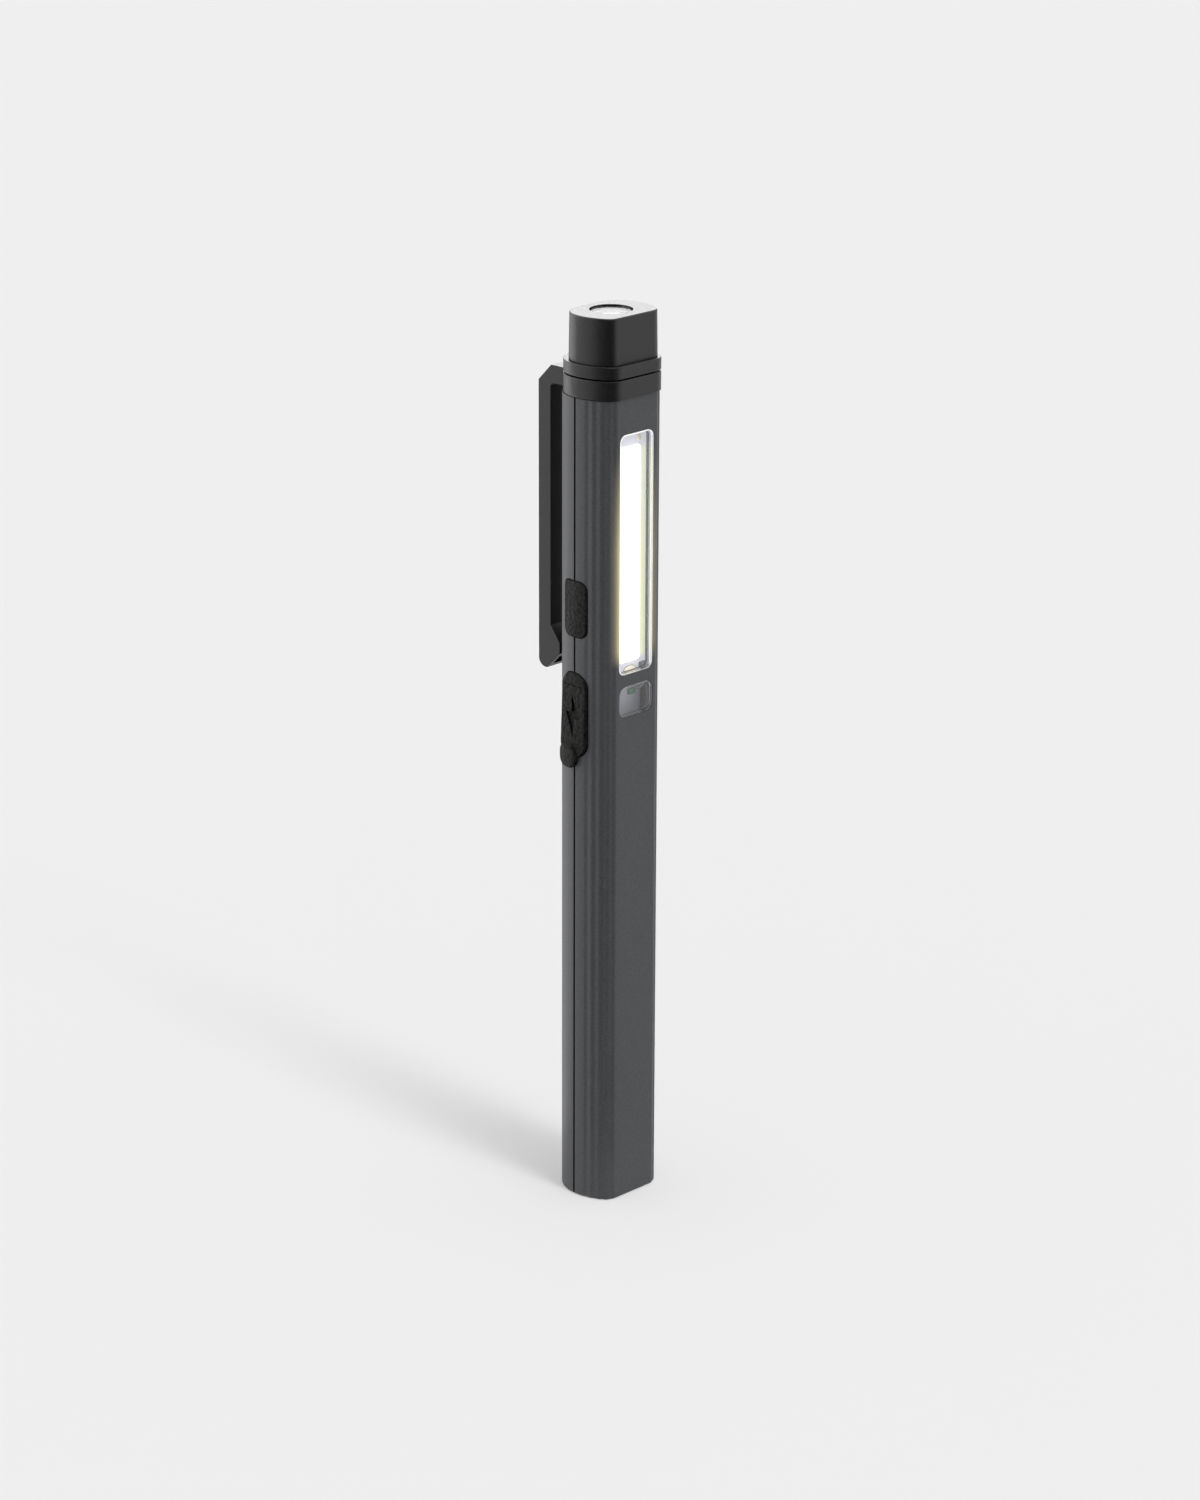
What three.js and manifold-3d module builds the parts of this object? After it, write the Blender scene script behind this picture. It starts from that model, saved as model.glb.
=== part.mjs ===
// Rechargeable penlight: a two-part barrel with a long lamp window in its flat front,
// a head with a round lens, a collar with a pocket clip, a side button and a port cover.
// Millimetres, +Z up. The foot stands on z = 0, the front faces -Y, the button side faces -X,
// and the z axis runs through the middle of the head lens.
import * as THREE from 'three';
import { mergeVertices } from 'three/addons/utils/BufferGeometryUtils.js';
import Module from 'manifold-3d';

const wasm = await Module();
wasm.setup();

// Overall stack, from the foot to the top of the head
const overallLength = 165;
const capHeight = 8.4;
const flangeHeight = 2.35;
const collarHeight = 3.6;
const seam = 0.15;
const fit = 0.2;
const runningGap = 0.3;
const cutOverrun = 1;
const weldDistance = 0.00002;
const smallestCorner = 0.4;

// Barrel section: a rounded D, flat at the front, widest at y = 0
const barrelHalfWidth = 8.3;
const barrelFront = 6.4;
const barrelBack = 8.3;
const barrelCornerRadius = 2.8;
const barrelBackCornerRadius = 7.7;
const barrelSideBulge = 1.6;
const barrelBackSideBulge = 3.4;
const wall = 1.3;
const footWall = 1.6;
const footChamfer = 0.4;
const partingPlane = 0.7;
const partingGap = 0.3;
const lipDepth = 1;
const lipThickness = 0.5;

// Flutes along the front half's sides, placed along the outline from its widest point
const flutePitch = 1.57;
const fluteDepth = 0.14;
const fluteOffset = 1.5;

// Collar and flange, set against the barrel's section
const collarSideStep = 0.15;
const collarFrontStep = 0.5;
const collarBackInset = 0.8;
const collarCornerRadius = 3.1;
const collarBackCornerRadius = 7;
const collarSideBulge = 1.6;

// Head cap, set against the flange
const capSideInset = 0.58;
const capFrontInset = 0.83;
const capBackInset = 1.7;
const capCornerRadius = 2.4;
const capBackCornerRadius = 5.4;
const capSideBulge = 1.58;
const capDraft = 0.12;
const capEdgeRadius = 0.25;

// Neck that carries the collar and takes the head's plug
const neckInset = 1.9;
const neckWall = 1.2;
const shoulderThickness = 1.5;
const plugDepth = 3;
const plugWall = 1.1;

// Head lamp, stacked in a blind bore from the top
const lensDiameter = 7.5;
const lensThickness = 1.2;
const lensRecess = 0.3;
const lensDome = 0.15;
const sealThickness = 0.6;
const sealWidth = 0.5;
const headBoardThickness = 1;
const headLedWidth = 2.4;
const headLedHeight = 0.7;
const reflectorWall = 0.5;
const reflectorThroatRadius = 1.9;
const headFloorThickness = 1.2;
const leadHoleRadius = 1.6;

// Long lamp window in the flat front, down from the shoulder, and what lies behind it
const windowSideInset = 0.32;
const windowHeight = 43.6;
const windowDrop = 6.55;
const windowCornerRadius = 1.3;
const windowThickness = 1.1;
const windowSkirtThickness = 0.5;
const windowFlangeWidth = 0.7;
const windowFlangeThickness = 0.5;
const gasketThickness = 0.35;
const gasketWidth = 0.6;
const gasketSideReach = 0.9;
const gasketEndReach = 1.5;
const boardSideReach = 1;
const boardEndReach = 1.8;
const boardThickness = 1;
const stripHalfWidth = 2.6;
const stripTopMargin = 2.8;
const stripBottomMargin = 1.6;
const stripThickness = 0.4;
const heatPlateThickness = 0.7;
const resistorWidth = 1.4;
const resistorHeight = 1.1;
const resistorThickness = 0.4;
const resistorSideInset = 0.8;
const resistorRise = 0.3;
const solderRadius = 0.6;
const lowerSolderOffset = 0.3;
const lowerSolderDrop = 0.1;
const upperSolderSideInset = 1.8;
const upperSolderDrop = 1.6;

// Small window over the charge lamps, down from the long one
const smallWindowHeight = 5.6;
const smallWindowDrop = 2.3;
const smallWindowCornerRadius = 1.6;
const chargeLedWidth = 1.6;
const chargeLedHeight = 0.9;
const chargeLedThickness = 0.6;
const chargeLedSpacing = 4.5;
const chargeLedOffset = 0.65;

// Push button, set by its height above the long window's lower edge
const sideAxisOffset = 0.8;
const buttonHeight = 10.2;
const buttonWidth = 5.7;
const buttonCornerRadius = 1.5;
const buttonRise = 11.9;
const buttonProud = 0.15;
const buttonTravel = 0.5;
const buttonFlangeWidth = 0.45;
const buttonFlangeThickness = 0.7;
const buttonFlangeDepth = 2.5;
const buttonPostRadius = 1;

// Tactile switch behind the button
const switchHeight = 4.5;
const switchDepth = 3;
const switchThickness = 3;
const plungerRadius = 0.8;
const plungerReach = 0.6;
const plungerSeatDepth = 1.1;

// Port cover and its recess, down from the button
const coverDrop = 6.7;
const coverHeight = 15.5;
const coverWidth = 5.9;
const coverCornerRadius = 2.5;
const coverProudTop = 0.15;
const coverProudFoot = 0.8;
const recessDepth = 1.3;
const recessPadThickness = 1.3;
const recessMargin = 1.2;
const tetherHeight = 2.1;
const tetherPinRadius = 0.7;
const tetherBulbRadius = 1.2;
const tetherBulbLength = 0.8;
const nubWidth = 4.6;
const nubHeight = 4.5;
const nubCornerRadius = 1.9;
const nubOffset = 1.05;
const nubProud = 1.15;
const nubDrop = 2.2;

// Charging socket, behind the middle of the port cover
const socketWidth = 8.94;
const socketThickness = 3.26;
const socketDepth = 7.3;
const socketWall = 0.3;
const socketSetback = 1.7;
const tongueWidth = 6.7;
const tongueThickness = 0.7;
const tongueSetback = 0.8;
const bungThickness = 0.35;

// Main circuit board, from below the socket to above the button
const boardDepth = 4.65;
const mainBoardThickness = 1;
const mainBoardLeftGap = 4.7;
const mainBoardRightGap = 2.9;
const mainBoardDrop = 8.85;
const mainBoardRise = 9.1;
const chipWidth = 4;
const chipThickness = 1.1;
const inductorRadius = 2;
const inductorThickness = 1.8;
const powerPartsInset = 2.4;
const chargeChipRise = 2.2;
const driverChipDrop = 9.4;
const inductorDrop = 2.5;
const boardPostRadius = 1.2;
const boardPostInset = 1.6;
const lowerPostDrop = 13.2;
const upperPostDrop = 1.4;
const boardRibRise = 3;
const boardRibThickness = 1.2;
const boardRibHalfWidth = 3;

// Battery cell, from above the foot to below the main board, and its tabs
const cellSideGap = 2;
const cellDepthGap = 1.05;
const cellFootRoom = 20;
const cellHeadRoom = 20;
const terminalRadius = 2.2;
const terminalHeight = 0.9;
const tabThickness = 0.2;
const tabWidth = 3;
const tabLength = 5.5;
const cradleThickness = 1.4;
const cradleEndDistance = 5;

// Foot magnet, a little smaller than the cell
const magnetInset = 0.5;
const magnetThickness = 3;
const magnetSeatWall = 1;

// Case screws, driven from the back
const lowerScrewRise = 12;
const upperScrewDrop = 5;
const screwRadius = 0.8;
const screwHeadRadius = 1.7;
const screwHeadThickness = 1.1;
const screwSinkDepth = 0.7;
const screwSocketRadius = 0.55;
const screwSocketDepth = 0.6;
const screwBossRadius = 2.2;
const screwTipGap = 1.5;

// Ribs of the back half that stand behind the heat plate
const lowerRibRise = 5.5;
const upperRibDrop = 3.1;
const ribThickness = 1.2;
const ribHalfWidth = 3.6;
const ribNotchHalfWidth = 2.2;
const ribNotchDepth = 4.5;

// Leads
const leadRadius = 0.45;
const leadGap = 0.35;
const headLeadOffset = 0.75;
const leadBend = 2.5;
const leadRunWallGap = 1.35;
const leadRunDepthShare = 0.47;

// Pocket clip
const clipHalfWidth = 4;
const clipReach = 5.55;
const clipThickness = 3;
const clipLength = 52.45;
const clipArmInset = 0.1;
const clipChamfer = 3.1;
const clipFilletRadius = 0.8;
const clipTipRadius = 1.6;
const clipPadRise = 8.2;
const clipPadHeelRise = 5.2;
const clipPadFootRise = 3.2;
const clipPadGap = 0.3;
const clipEdge = 0.35;
const clipPocketWall = 0.75;
const clipPocketOuterWall = 1.5;
const clipPocketRise = 5.4;

// Smoothness of curved outlines
const sideSteps = 5;
const leadInSteps = 2;
const cornerSteps = 5;
const fluteSteps = 6;
const roundSteps = 4;
const circleSteps = 24;
const smallCircleSteps = 12;
const hexSides = 6;
const leadSides = 6;

// Heights worked out from the stack
const shoulderZ = overallLength - capHeight - flangeHeight - collarHeight;
const flangeBottomZ = shoulderZ + collarHeight;
const flangeTopZ = flangeBottomZ + flangeHeight;
const neckTopZ = flangeBottomZ - seam;

// Places across the barrel
const windowHalfWidth = frontFlatHalfWidth() - windowSideInset;
const boardHalfWidth = windowHalfWidth + boardSideReach;
const mainBoardLeftX = -(barrelHalfWidth - mainBoardLeftGap);
const mainBoardRightX = barrelHalfWidth - mainBoardRightGap;
const powerPartsX = mainBoardRightX - powerPartsInset;
const boardPostX = mainBoardRightX - boardPostInset;
const recessFloorX = barrelHalfWidth - recessDepth;
const socketMouthX = barrelHalfWidth - socketSetback;
const leadRunX = -(barrelHalfWidth - wall - leadRunWallGap - leadRadius);
const leadStandOff = leadRadius + leadGap;
const cradleHalfWidth = -leadRunX - leadStandOff;
const cellSideRoom = barrelHalfWidth - cellSideGap;
const cellDepthRoom = (barrelBack + barrelFront) / 2 - cellDepthGap;
const cellRadius = Math.min(cellSideRoom, cellDepthRoom) - wall;
const cellOffset = (barrelBack - barrelFront) / 2;
const magnetRadius = cellRadius - magnetInset;

// Places along the barrel
const windowTopZ = shoulderZ - windowDrop;
const windowBottomZ = windowTopZ - windowHeight;
const windowCentreZ = windowTopZ - windowHeight / 2;
const smallWindowTopZ = windowBottomZ - smallWindowDrop;
const smallWindowCentreZ = smallWindowTopZ - smallWindowHeight / 2;
const buttonCentreZ = windowBottomZ + buttonRise;
const coverTopZ = buttonCentreZ - buttonHeight / 2 - coverDrop;
const coverFootZ = coverTopZ - coverHeight;
const coverCentreZ = coverTopZ - coverHeight / 2;
const mainBoardTopZ = buttonCentreZ + mainBoardRise;
const mainBoardBottomZ = coverCentreZ - mainBoardDrop;
const cellTopZ = mainBoardBottomZ - cellHeadRoom;
const cellBottomZ = cellFootRoom;
const screwHeights = [lowerScrewRise, mainBoardBottomZ - upperScrewDrop];
const cradleHeights = [cellBottomZ + cradleEndDistance, cellTopZ - cradleEndDistance];
const postHeights = [buttonCentreZ - lowerPostDrop, buttonCentreZ - upperPostDrop];
const ribHeights = [mainBoardTopZ + lowerRibRise, windowTopZ - upperRibDrop];

// Sections
function section(halfWidth, front, back, corner, backCorner, sideBulge, backSideBulge) {
  return {
    halfWidth,
    front,
    back,
    sideRadius: halfWidth + sideBulge,
    cornerRadius: corner,
    backSideRadius: halfWidth + backSideBulge,
    backCornerRadius: backCorner,
  };
}

const barrel = section(
  barrelHalfWidth,
  barrelFront,
  barrelBack,
  barrelCornerRadius,
  barrelBackCornerRadius,
  barrelSideBulge,
  barrelBackSideBulge,
);
const collarHalfWidth = barrelHalfWidth + collarSideStep;
const collarFront = barrelFront + collarFrontStep;
const collarBack = barrelBack - collarBackInset;
const collarSection = section(
  collarHalfWidth,
  collarFront,
  collarBack,
  collarCornerRadius,
  collarBackCornerRadius,
  collarSideBulge,
  collarSideBulge,
);
const capSection = section(
  collarHalfWidth - capSideInset,
  collarFront - capFrontInset,
  collarBack - capBackInset,
  capCornerRadius,
  capBackCornerRadius,
  capSideBulge,
  capSideBulge,
);

// Moves every wall of a section inwards, or outwards for a negative distance
function inset(section, distance) {
  const moved = {};
  for (const [name, size] of Object.entries(section)) {
    moved[name] = Math.max(size - distance, smallestCorner);
  }
  return moved;
}

// A corner's radius, kept small enough for the corner to fit beside the middle of the section
function fittingRadius(halfWidth, depth, sideRadius, cornerRadius) {
  const room = sideRadius ** 2 - depth ** 2 - (sideRadius - halfWidth) ** 2;
  return Math.min(cornerRadius, depth, room / (2 * (sideRadius - depth)));
}

// Half the width of the barrel's flat front, between its rounded corners
function frontFlatHalfWidth() {
  const sideRadius = barrelHalfWidth + barrelSideBulge;
  const reach = sideRadius - barrelCornerRadius;
  return Math.sqrt(reach ** 2 - (barrelFront - barrelCornerRadius) ** 2) - barrelSideBulge;
}

// Quarter outline from the widest point to the middle of the front or back face, moved inwards by
// the last value; it carries as many flutes as fit where it has a wave
function quarterOutline(halfWidth, depth, sideRadius, wantedRadius, waveDepth, inward) {
  const cornerRadius = fittingRadius(halfWidth, depth, sideRadius, wantedRadius);
  const turn = Math.asin((depth - cornerRadius) / (sideRadius - cornerRadius));
  const sideCentreX = halfWidth - sideRadius;
  const cornerX = sideCentreX + (sideRadius - cornerRadius) * Math.cos(turn);
  const cornerY = depth - cornerRadius;
  const sideLength = sideRadius * turn;
  const cornerLength = cornerRadius * (Math.PI / 2 - turn);
  const outlineLength = sideLength + cornerLength;
  const waved = waveDepth > 0;
  const fluteCount = Math.floor((outlineLength - fluteOffset) / flutePitch);
  const fluteEnd = fluteOffset + fluteCount * flutePitch;
  const marks = [];
  if (waved) {
    for (let i = 0; i < leadInSteps; i += 1) marks.push((fluteOffset * i) / leadInSteps);
    const waves = fluteCount * fluteSteps;
    for (let i = 0; i <= waves; i += 1) marks.push(fluteOffset + (i * fluteCount * flutePitch) / waves);
    marks.push(outlineLength);
  } else {
    for (let i = 0; i < sideSteps; i += 1) marks.push((sideLength * i) / sideSteps);
    for (let i = 0; i <= cornerSteps; i += 1) marks.push(sideLength + (cornerLength * i) / cornerSteps);
  }
  return marks.map((along) => {
    const onSide = along < sideLength;
    const angle = onSide ? along / sideRadius : turn + (along - sideLength) / cornerRadius;
    const radius = (onSide ? sideRadius : cornerRadius) - inward;
    const inWave = waved && along > fluteOffset && along < fluteEnd;
    const wave = inWave ? waveDepth * Math.sin((Math.PI * (along - fluteOffset)) / flutePitch) ** 2 : 0;
    const x = (onSide ? sideCentreX : cornerX) + (radius - wave) * Math.cos(angle);
    const y = (onSide ? 0 : cornerY) + (radius - wave) * Math.sin(angle);
    return new THREE.Vector2(x, y);
  });
}

// Whole outline, anticlockwise from the widest point on the right
function sectionOutline(section, waveDepth = 0, inward = 0) {
  const back = quarterOutline(
    section.halfWidth,
    section.back,
    section.backSideRadius,
    section.backCornerRadius,
    0,
    inward,
  );
  const front = quarterOutline(
    section.halfWidth,
    section.front,
    section.sideRadius,
    section.cornerRadius,
    waveDepth,
    inward,
  );
  const mirrorX = (points) => points.map((p) => new THREE.Vector2(-p.x, p.y));
  const frontRight = front.map((p) => new THREE.Vector2(p.x, -p.y));
  return [
    ...back,
    ...mirrorX(back).reverse().slice(0, -1),
    ...mirrorX(frontRight),
    ...frontRight.slice(1).reverse(),
  ];
}

// Closed body through outlines of equal point counts, stacked from the lowest to the highest
function stack(layers) {
  const count = layers[0].points.length;
  const positions = [];
  for (const layer of layers) {
    for (const point of layer.points) positions.push(point.x, point.y, layer.z);
  }
  const faces = [];
  for (let row = 0; row < layers.length - 1; row += 1) {
    for (let i = 0; i < count; i += 1) {
      const next = (i + 1) % count;
      const low = row * count;
      const high = low + count;
      faces.push(low + i, low + next, high + next);
      faces.push(low + i, high + next, high + i);
    }
  }
  const last = (layers.length - 1) * count;
  for (const [a, b, c] of THREE.ShapeUtils.triangulateShape(layers[0].points, [])) {
    faces.push(a, c, b);
  }
  for (const [a, b, c] of THREE.ShapeUtils.triangulateShape(layers[layers.length - 1].points, [])) {
    faces.push(last + a, last + b, last + c);
  }
  const geometry = new THREE.BufferGeometry();
  geometry.setAttribute('position', new THREE.Float32BufferAttribute(positions, 3));
  geometry.setIndex(faces);
  return geometry;
}

function prism(points, bottom, top) {
  return stack([{ points, z: bottom }, { points, z: top }]);
}

function sectionPrism(section, bottom, top) {
  return prism(sectionOutline(section), bottom, top);
}

function sectionSolid(section, bottom, top) {
  return toSolid(sectionPrism(section, bottom, top));
}

// Rounded rectangle outline about a centre
function roundedRectangle(width, height, wantedRadius, centreX = 0, centreY = 0, steps = roundSteps) {
  const radius = Math.min(wantedRadius, width / 2, height / 2);
  const points = [];
  const corners = [
    [width / 2 - radius, height / 2 - radius],
    [radius - width / 2, height / 2 - radius],
    [radius - width / 2, radius - height / 2],
    [width / 2 - radius, radius - height / 2],
  ];
  corners.forEach(([x, y], corner) => {
    for (let i = 0; i <= steps; i += 1) {
      const angle = (Math.PI / 2) * (corner + i / steps);
      points.push(new THREE.Vector2(
        centreX + x + radius * Math.cos(angle),
        centreY + y + radius * Math.sin(angle),
      ));
    }
  });
  return points;
}

// Stadium outline: a bar with half-round ends, its long side along the second axis
function stadium(width, height, centreX, centreY, steps = smallCircleSteps) {
  const points = [];
  for (let i = 0; i <= steps; i += 1) {
    const angle = (Math.PI * i) / steps;
    points.push(new THREE.Vector2(
      centreX + (width / 2) * Math.cos(angle),
      centreY + height / 2 - width / 2 + (width / 2) * Math.sin(angle),
    ));
  }
  for (let i = 0; i <= steps; i += 1) {
    const angle = Math.PI + (Math.PI * i) / steps;
    points.push(new THREE.Vector2(
      centreX + (width / 2) * Math.cos(angle),
      centreY - height / 2 + width / 2 + (width / 2) * Math.sin(angle),
    ));
  }
  return points;
}

// Outline in x and z, given depth along y from the first value to the second
function facingFront(points, fromY, toY) {
  const geometry = prism(points, -toY, -fromY);
  geometry.rotateX(Math.PI / 2);
  return geometry;
}

// Outline in y and z, given depth along x from the first value to the second
function facingSide(points, fromX, toX) {
  const geometry = prism(points, fromX, toX);
  geometry.rotateY(Math.PI / 2);
  geometry.rotateX(Math.PI / 2);
  return geometry;
}

function box(fromX, toX, fromY, toY, fromZ, toZ) {
  const geometry = new THREE.BoxGeometry(toX - fromX, toY - fromY, toZ - fromZ);
  geometry.translate((fromX + toX) / 2, (fromY + toY) / 2, (fromZ + toZ) / 2);
  return geometry;
}

function cylinderZ(radius, x, y, bottom, top, steps = circleSteps) {
  const geometry = new THREE.CylinderGeometry(radius, radius, top - bottom, steps);
  geometry.rotateX(Math.PI / 2);
  geometry.translate(x, y, (bottom + top) / 2);
  return geometry;
}

function cylinderY(radius, x, z, fromY, toY, steps = smallCircleSteps) {
  const geometry = new THREE.CylinderGeometry(radius, radius, toY - fromY, steps);
  geometry.translate(x, (fromY + toY) / 2, z);
  return geometry;
}

function cylinderX(radius, y, z, fromX, toX, steps = smallCircleSteps) {
  const geometry = new THREE.CylinderGeometry(radius, radius, toX - fromX, steps);
  geometry.rotateZ(Math.PI / 2);
  geometry.translate((fromX + toX) / 2, y, z);
  return geometry;
}

// Turned body about a vertical axis through the origin, from points of radius and height
function turned(points, steps = circleSteps) {
  const geometry = new THREE.LatheGeometry(points.map(([r, z]) => new THREE.Vector2(r, z)), steps);
  geometry.rotateX(Math.PI / 2);
  return geometry;
}

// Booleans
function toSolid(geometry) {
  const bare = geometry.index ? geometry.toNonIndexed() : geometry.clone();
  for (const name of Object.keys(bare.attributes)) {
    if (name !== 'position') bare.deleteAttribute(name);
  }
  const welded = mergeVertices(bare, weldDistance);
  const triVerts = [];
  for (let i = 0; i < welded.index.count; i += 3) {
    const [a, b, c] = [0, 1, 2].map((corner) => welded.index.getX(i + corner));
    if (a !== b && b !== c && c !== a) triVerts.push(a, b, c);
  }
  return new wasm.Manifold(new wasm.Mesh({
    numProp: 3,
    vertProperties: Float32Array.from(welded.attributes.position.array),
    triVerts: Uint32Array.from(triVerts),
  }));
}

function toGeometry(solid) {
  const mesh = solid.getMesh();
  const geometry = new THREE.BufferGeometry();
  geometry.setAttribute('position', new THREE.BufferAttribute(Float32Array.from(mesh.vertProperties), 3));
  geometry.setIndex(new THREE.BufferAttribute(Uint32Array.from(mesh.triVerts), 1));
  return geometry;
}

function joined(first, ...others) {
  return others.reduce((whole, other) => whole.add(toSolid(other)), toSolid(first));
}

function cut(solid, ...tools) {
  return tools.reduce((left, tool) => left.subtract(toSolid(tool)), solid);
}

// Group and materials
const penlight = new THREE.Group();
penlight.name = 'penlight';

const finishes = {
  barrelPlastic: { color: 0x55565a, roughness: 0.55, metalness: 0 },
  headPlastic: { color: 0x2b2a2a, roughness: 0.42, metalness: 0 },
  rubber: { color: 0x24231f, roughness: 0.85, metalness: 0 },
  clearPlastic: { color: 0xe6ecef, roughness: 0.08, metalness: 0 },
  whiteBoard: { color: 0xe8e8ec, roughness: 0.5, metalness: 0 },
  phosphor: { color: 0xfffde0, roughness: 0.6, metalness: 0 },
  blackPlastic: { color: 0x17171a, roughness: 0.5, metalness: 0 },
  whiteFoam: { color: 0xdedede, roughness: 0.9, metalness: 0 },
  steel: { color: 0xb9bcc0, roughness: 0.3, metalness: 1 },
  nickel: { color: 0xa9a8a2, roughness: 0.35, metalness: 1 },
  aluminium: { color: 0xc4c6c9, roughness: 0.4, metalness: 1 },
  solder: { color: 0xd8d3bd, roughness: 0.3, metalness: 1 },
  mirrorPlastic: { color: 0xe4e6e8, roughness: 0.08, metalness: 1 },
  cellWrap: { color: 0x3c6e9c, roughness: 0.4, metalness: 0 },
  redLens: { color: 0xd8665a, roughness: 0.3, metalness: 0 },
  greenLens: { color: 0x9fd69a, roughness: 0.3, metalness: 0 },
  redWire: { color: 0xa8231c, roughness: 0.5, metalness: 0 },
  blackWire: { color: 0x1c1c1e, roughness: 0.5, metalness: 0 },
};

function addPiece(name, shape, finish) {
  const geometry = shape.isBufferGeometry ? shape : toGeometry(shape);
  geometry.computeVertexNormals();
  const mesh = new THREE.Mesh(geometry, new THREE.MeshStandardMaterial(finishes[finish]));
  mesh.name = name;
  penlight.add(mesh);
}

// Depths behind the front face
const wallInnerY = -(barrelFront - wall);
const windowFlangeFrontY = wallInnerY + seam;
const windowFlangeBackY = windowFlangeFrontY + windowFlangeThickness;
const gasketFrontY = windowFlangeBackY + seam / 3;
const gasketBackY = gasketFrontY + gasketThickness;
const boardFrontY = gasketBackY + seam / 3;
const boardBackY = boardFrontY + boardThickness;
const heatPlateFrontY = boardBackY + seam;
const heatPlateBackY = heatPlateFrontY + heatPlateThickness;
const mainBoardFrontY = -(barrelFront - boardDepth);
const mainBoardBackY = mainBoardFrontY + mainBoardThickness;

// Windows share this tray: a plate, a skirt through the wall and a flange behind it
function windowOutline(grow, height, radius, centreZ) {
  return roundedRectangle(2 * (windowHalfWidth + grow), height + 2 * grow, radius + grow, 0, centreZ);
}

function windowOpening(height, radius, centreZ) {
  const outline = windowOutline(fit, height, radius, centreZ);
  return facingFront(outline, -(barrelFront + cutOverrun), wallInnerY + cutOverrun);
}

function windowTray(height, radius, centreZ) {
  const plate = facingFront(windowOutline(0, height, radius, centreZ), -barrelFront, windowFlangeBackY);
  const flange = facingFront(
    windowOutline(windowFlangeWidth, height, radius, centreZ),
    windowFlangeFrontY,
    windowFlangeBackY,
  );
  const hollow = facingFront(
    windowOutline(-windowSkirtThickness, height, radius, centreZ),
    windowThickness - barrelFront,
    windowFlangeBackY + cutOverrun,
  );
  return cut(joined(plate, flange), hollow);
}

// Port recess and cover outlines, in y and z
const tetherFootZ = coverTopZ - tetherHeight;
const coverOutline = (grow) => roundedRectangle(
  coverWidth + 2 * grow,
  coverHeight + 2 * grow,
  coverCornerRadius + grow,
  sideAxisOffset,
  coverCentreZ,
);
const socketOutline = (grow) => stadium(
  socketThickness + 2 * grow,
  socketWidth + 2 * grow,
  mainBoardBackY + socketThickness / 2,
  coverCentreZ,
);
const tetherPinZ = tetherFootZ + tetherPinRadius + runningGap;
const padInnerX = -(recessFloorX - recessPadThickness);

// Shared shapes that both halves of the barrel are cut from
function barrelEnvelope() {
  const outline = sectionOutline(barrel, fluteDepth);
  return toSolid(stack([
    { points: sectionOutline(barrel, fluteDepth, footChamfer), z: 0 },
    { points: outline, z: footChamfer },
    { points: outline, z: shoulderZ - seam },
  ]));
}

function barrelHalf(keepFront) {
  const neck = inset(barrel, neckInset);
  const bore = inset(neck, neckWall);
  const cavity = sectionPrism(inset(barrel, wall), footWall, shoulderZ - shoulderThickness);
  const boreCut = sectionPrism(bore, shoulderZ - shoulderThickness - cutOverrun, neckTopZ + cutOverrun);
  const neckTube = sectionPrism(neck, shoulderZ - shoulderThickness, neckTopZ);
  let body = barrelEnvelope().add(toSolid(neckTube));
  body = cut(body, cavity, boreCut);
  const pad = box(
    -barrelHalfWidth,
    padInnerX,
    sideAxisOffset - coverWidth / 2 - recessMargin,
    sideAxisOffset + coverWidth / 2 + recessMargin,
    coverFootZ - recessMargin,
    coverTopZ + recessMargin,
  );
  body = body.add(toSolid(pad).intersect(barrelEnvelope()));
  body = cut(
    body,
    facingSide(coverOutline(runningGap), -(barrelHalfWidth + cutOverrun), -recessFloorX),
    facingSide(socketOutline(runningGap), -(recessFloorX + cutOverrun), padInnerX + cutOverrun),
    cylinderX(
      tetherPinRadius + fit,
      sideAxisOffset,
      tetherPinZ,
      -(recessFloorX + cutOverrun),
      padInnerX + cutOverrun,
    ),
    facingSide(
      roundedRectangle(
        buttonWidth + 2 * runningGap,
        buttonHeight + 2 * runningGap,
        buttonCornerRadius + runningGap,
        sideAxisOffset,
        buttonCentreZ,
      ),
      -(barrelHalfWidth + cutOverrun),
      -(barrelHalfWidth - buttonFlangeDepth),
    ),
  );
  const reach = barrelBack + barrelHalfWidth;
  const half = keepFront
    ? box(-reach, reach, -reach, partingPlane - partingGap / 2, -cutOverrun, overallLength)
    : box(-reach, reach, partingPlane + partingGap / 2, reach, -cutOverrun, overallLength);
  return body.intersect(toSolid(half));
}

// Magnet seat in the foot, split with the barrel
const magnetY = cellOffset;
const magnetBottom = footWall + seam;
const magnetTop = magnetBottom + magnetThickness;

function magnetSeat() {
  const ring = cylinderZ(magnetRadius + fit + magnetSeatWall, 0, magnetY, footWall - fit, magnetTop);
  const bore = cylinderZ(magnetRadius + fit, 0, magnetY, footWall, magnetTop + cutOverrun);
  return cut(toSolid(ring), bore);
}

// Cradle ribs that hold the cell, also split with the barrel
function cellCradle(centreZ) {
  const rib = box(
    -cradleHalfWidth,
    cradleHalfWidth,
    -barrelFront,
    barrelBack,
    centreZ - cradleThickness / 2,
    centreZ + cradleThickness / 2,
  );
  const seat = cylinderZ(
    cellRadius + runningGap,
    0,
    cellOffset,
    centreZ - cradleThickness,
    centreZ + cradleThickness,
  );
  return cut(toSolid(rib).intersect(barrelEnvelope()), seat);
}

const screwHeadSeatY = barrelBack - screwSinkDepth - screwHeadThickness;
const screwTipY = wallInnerY + screwTipGap;

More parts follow.
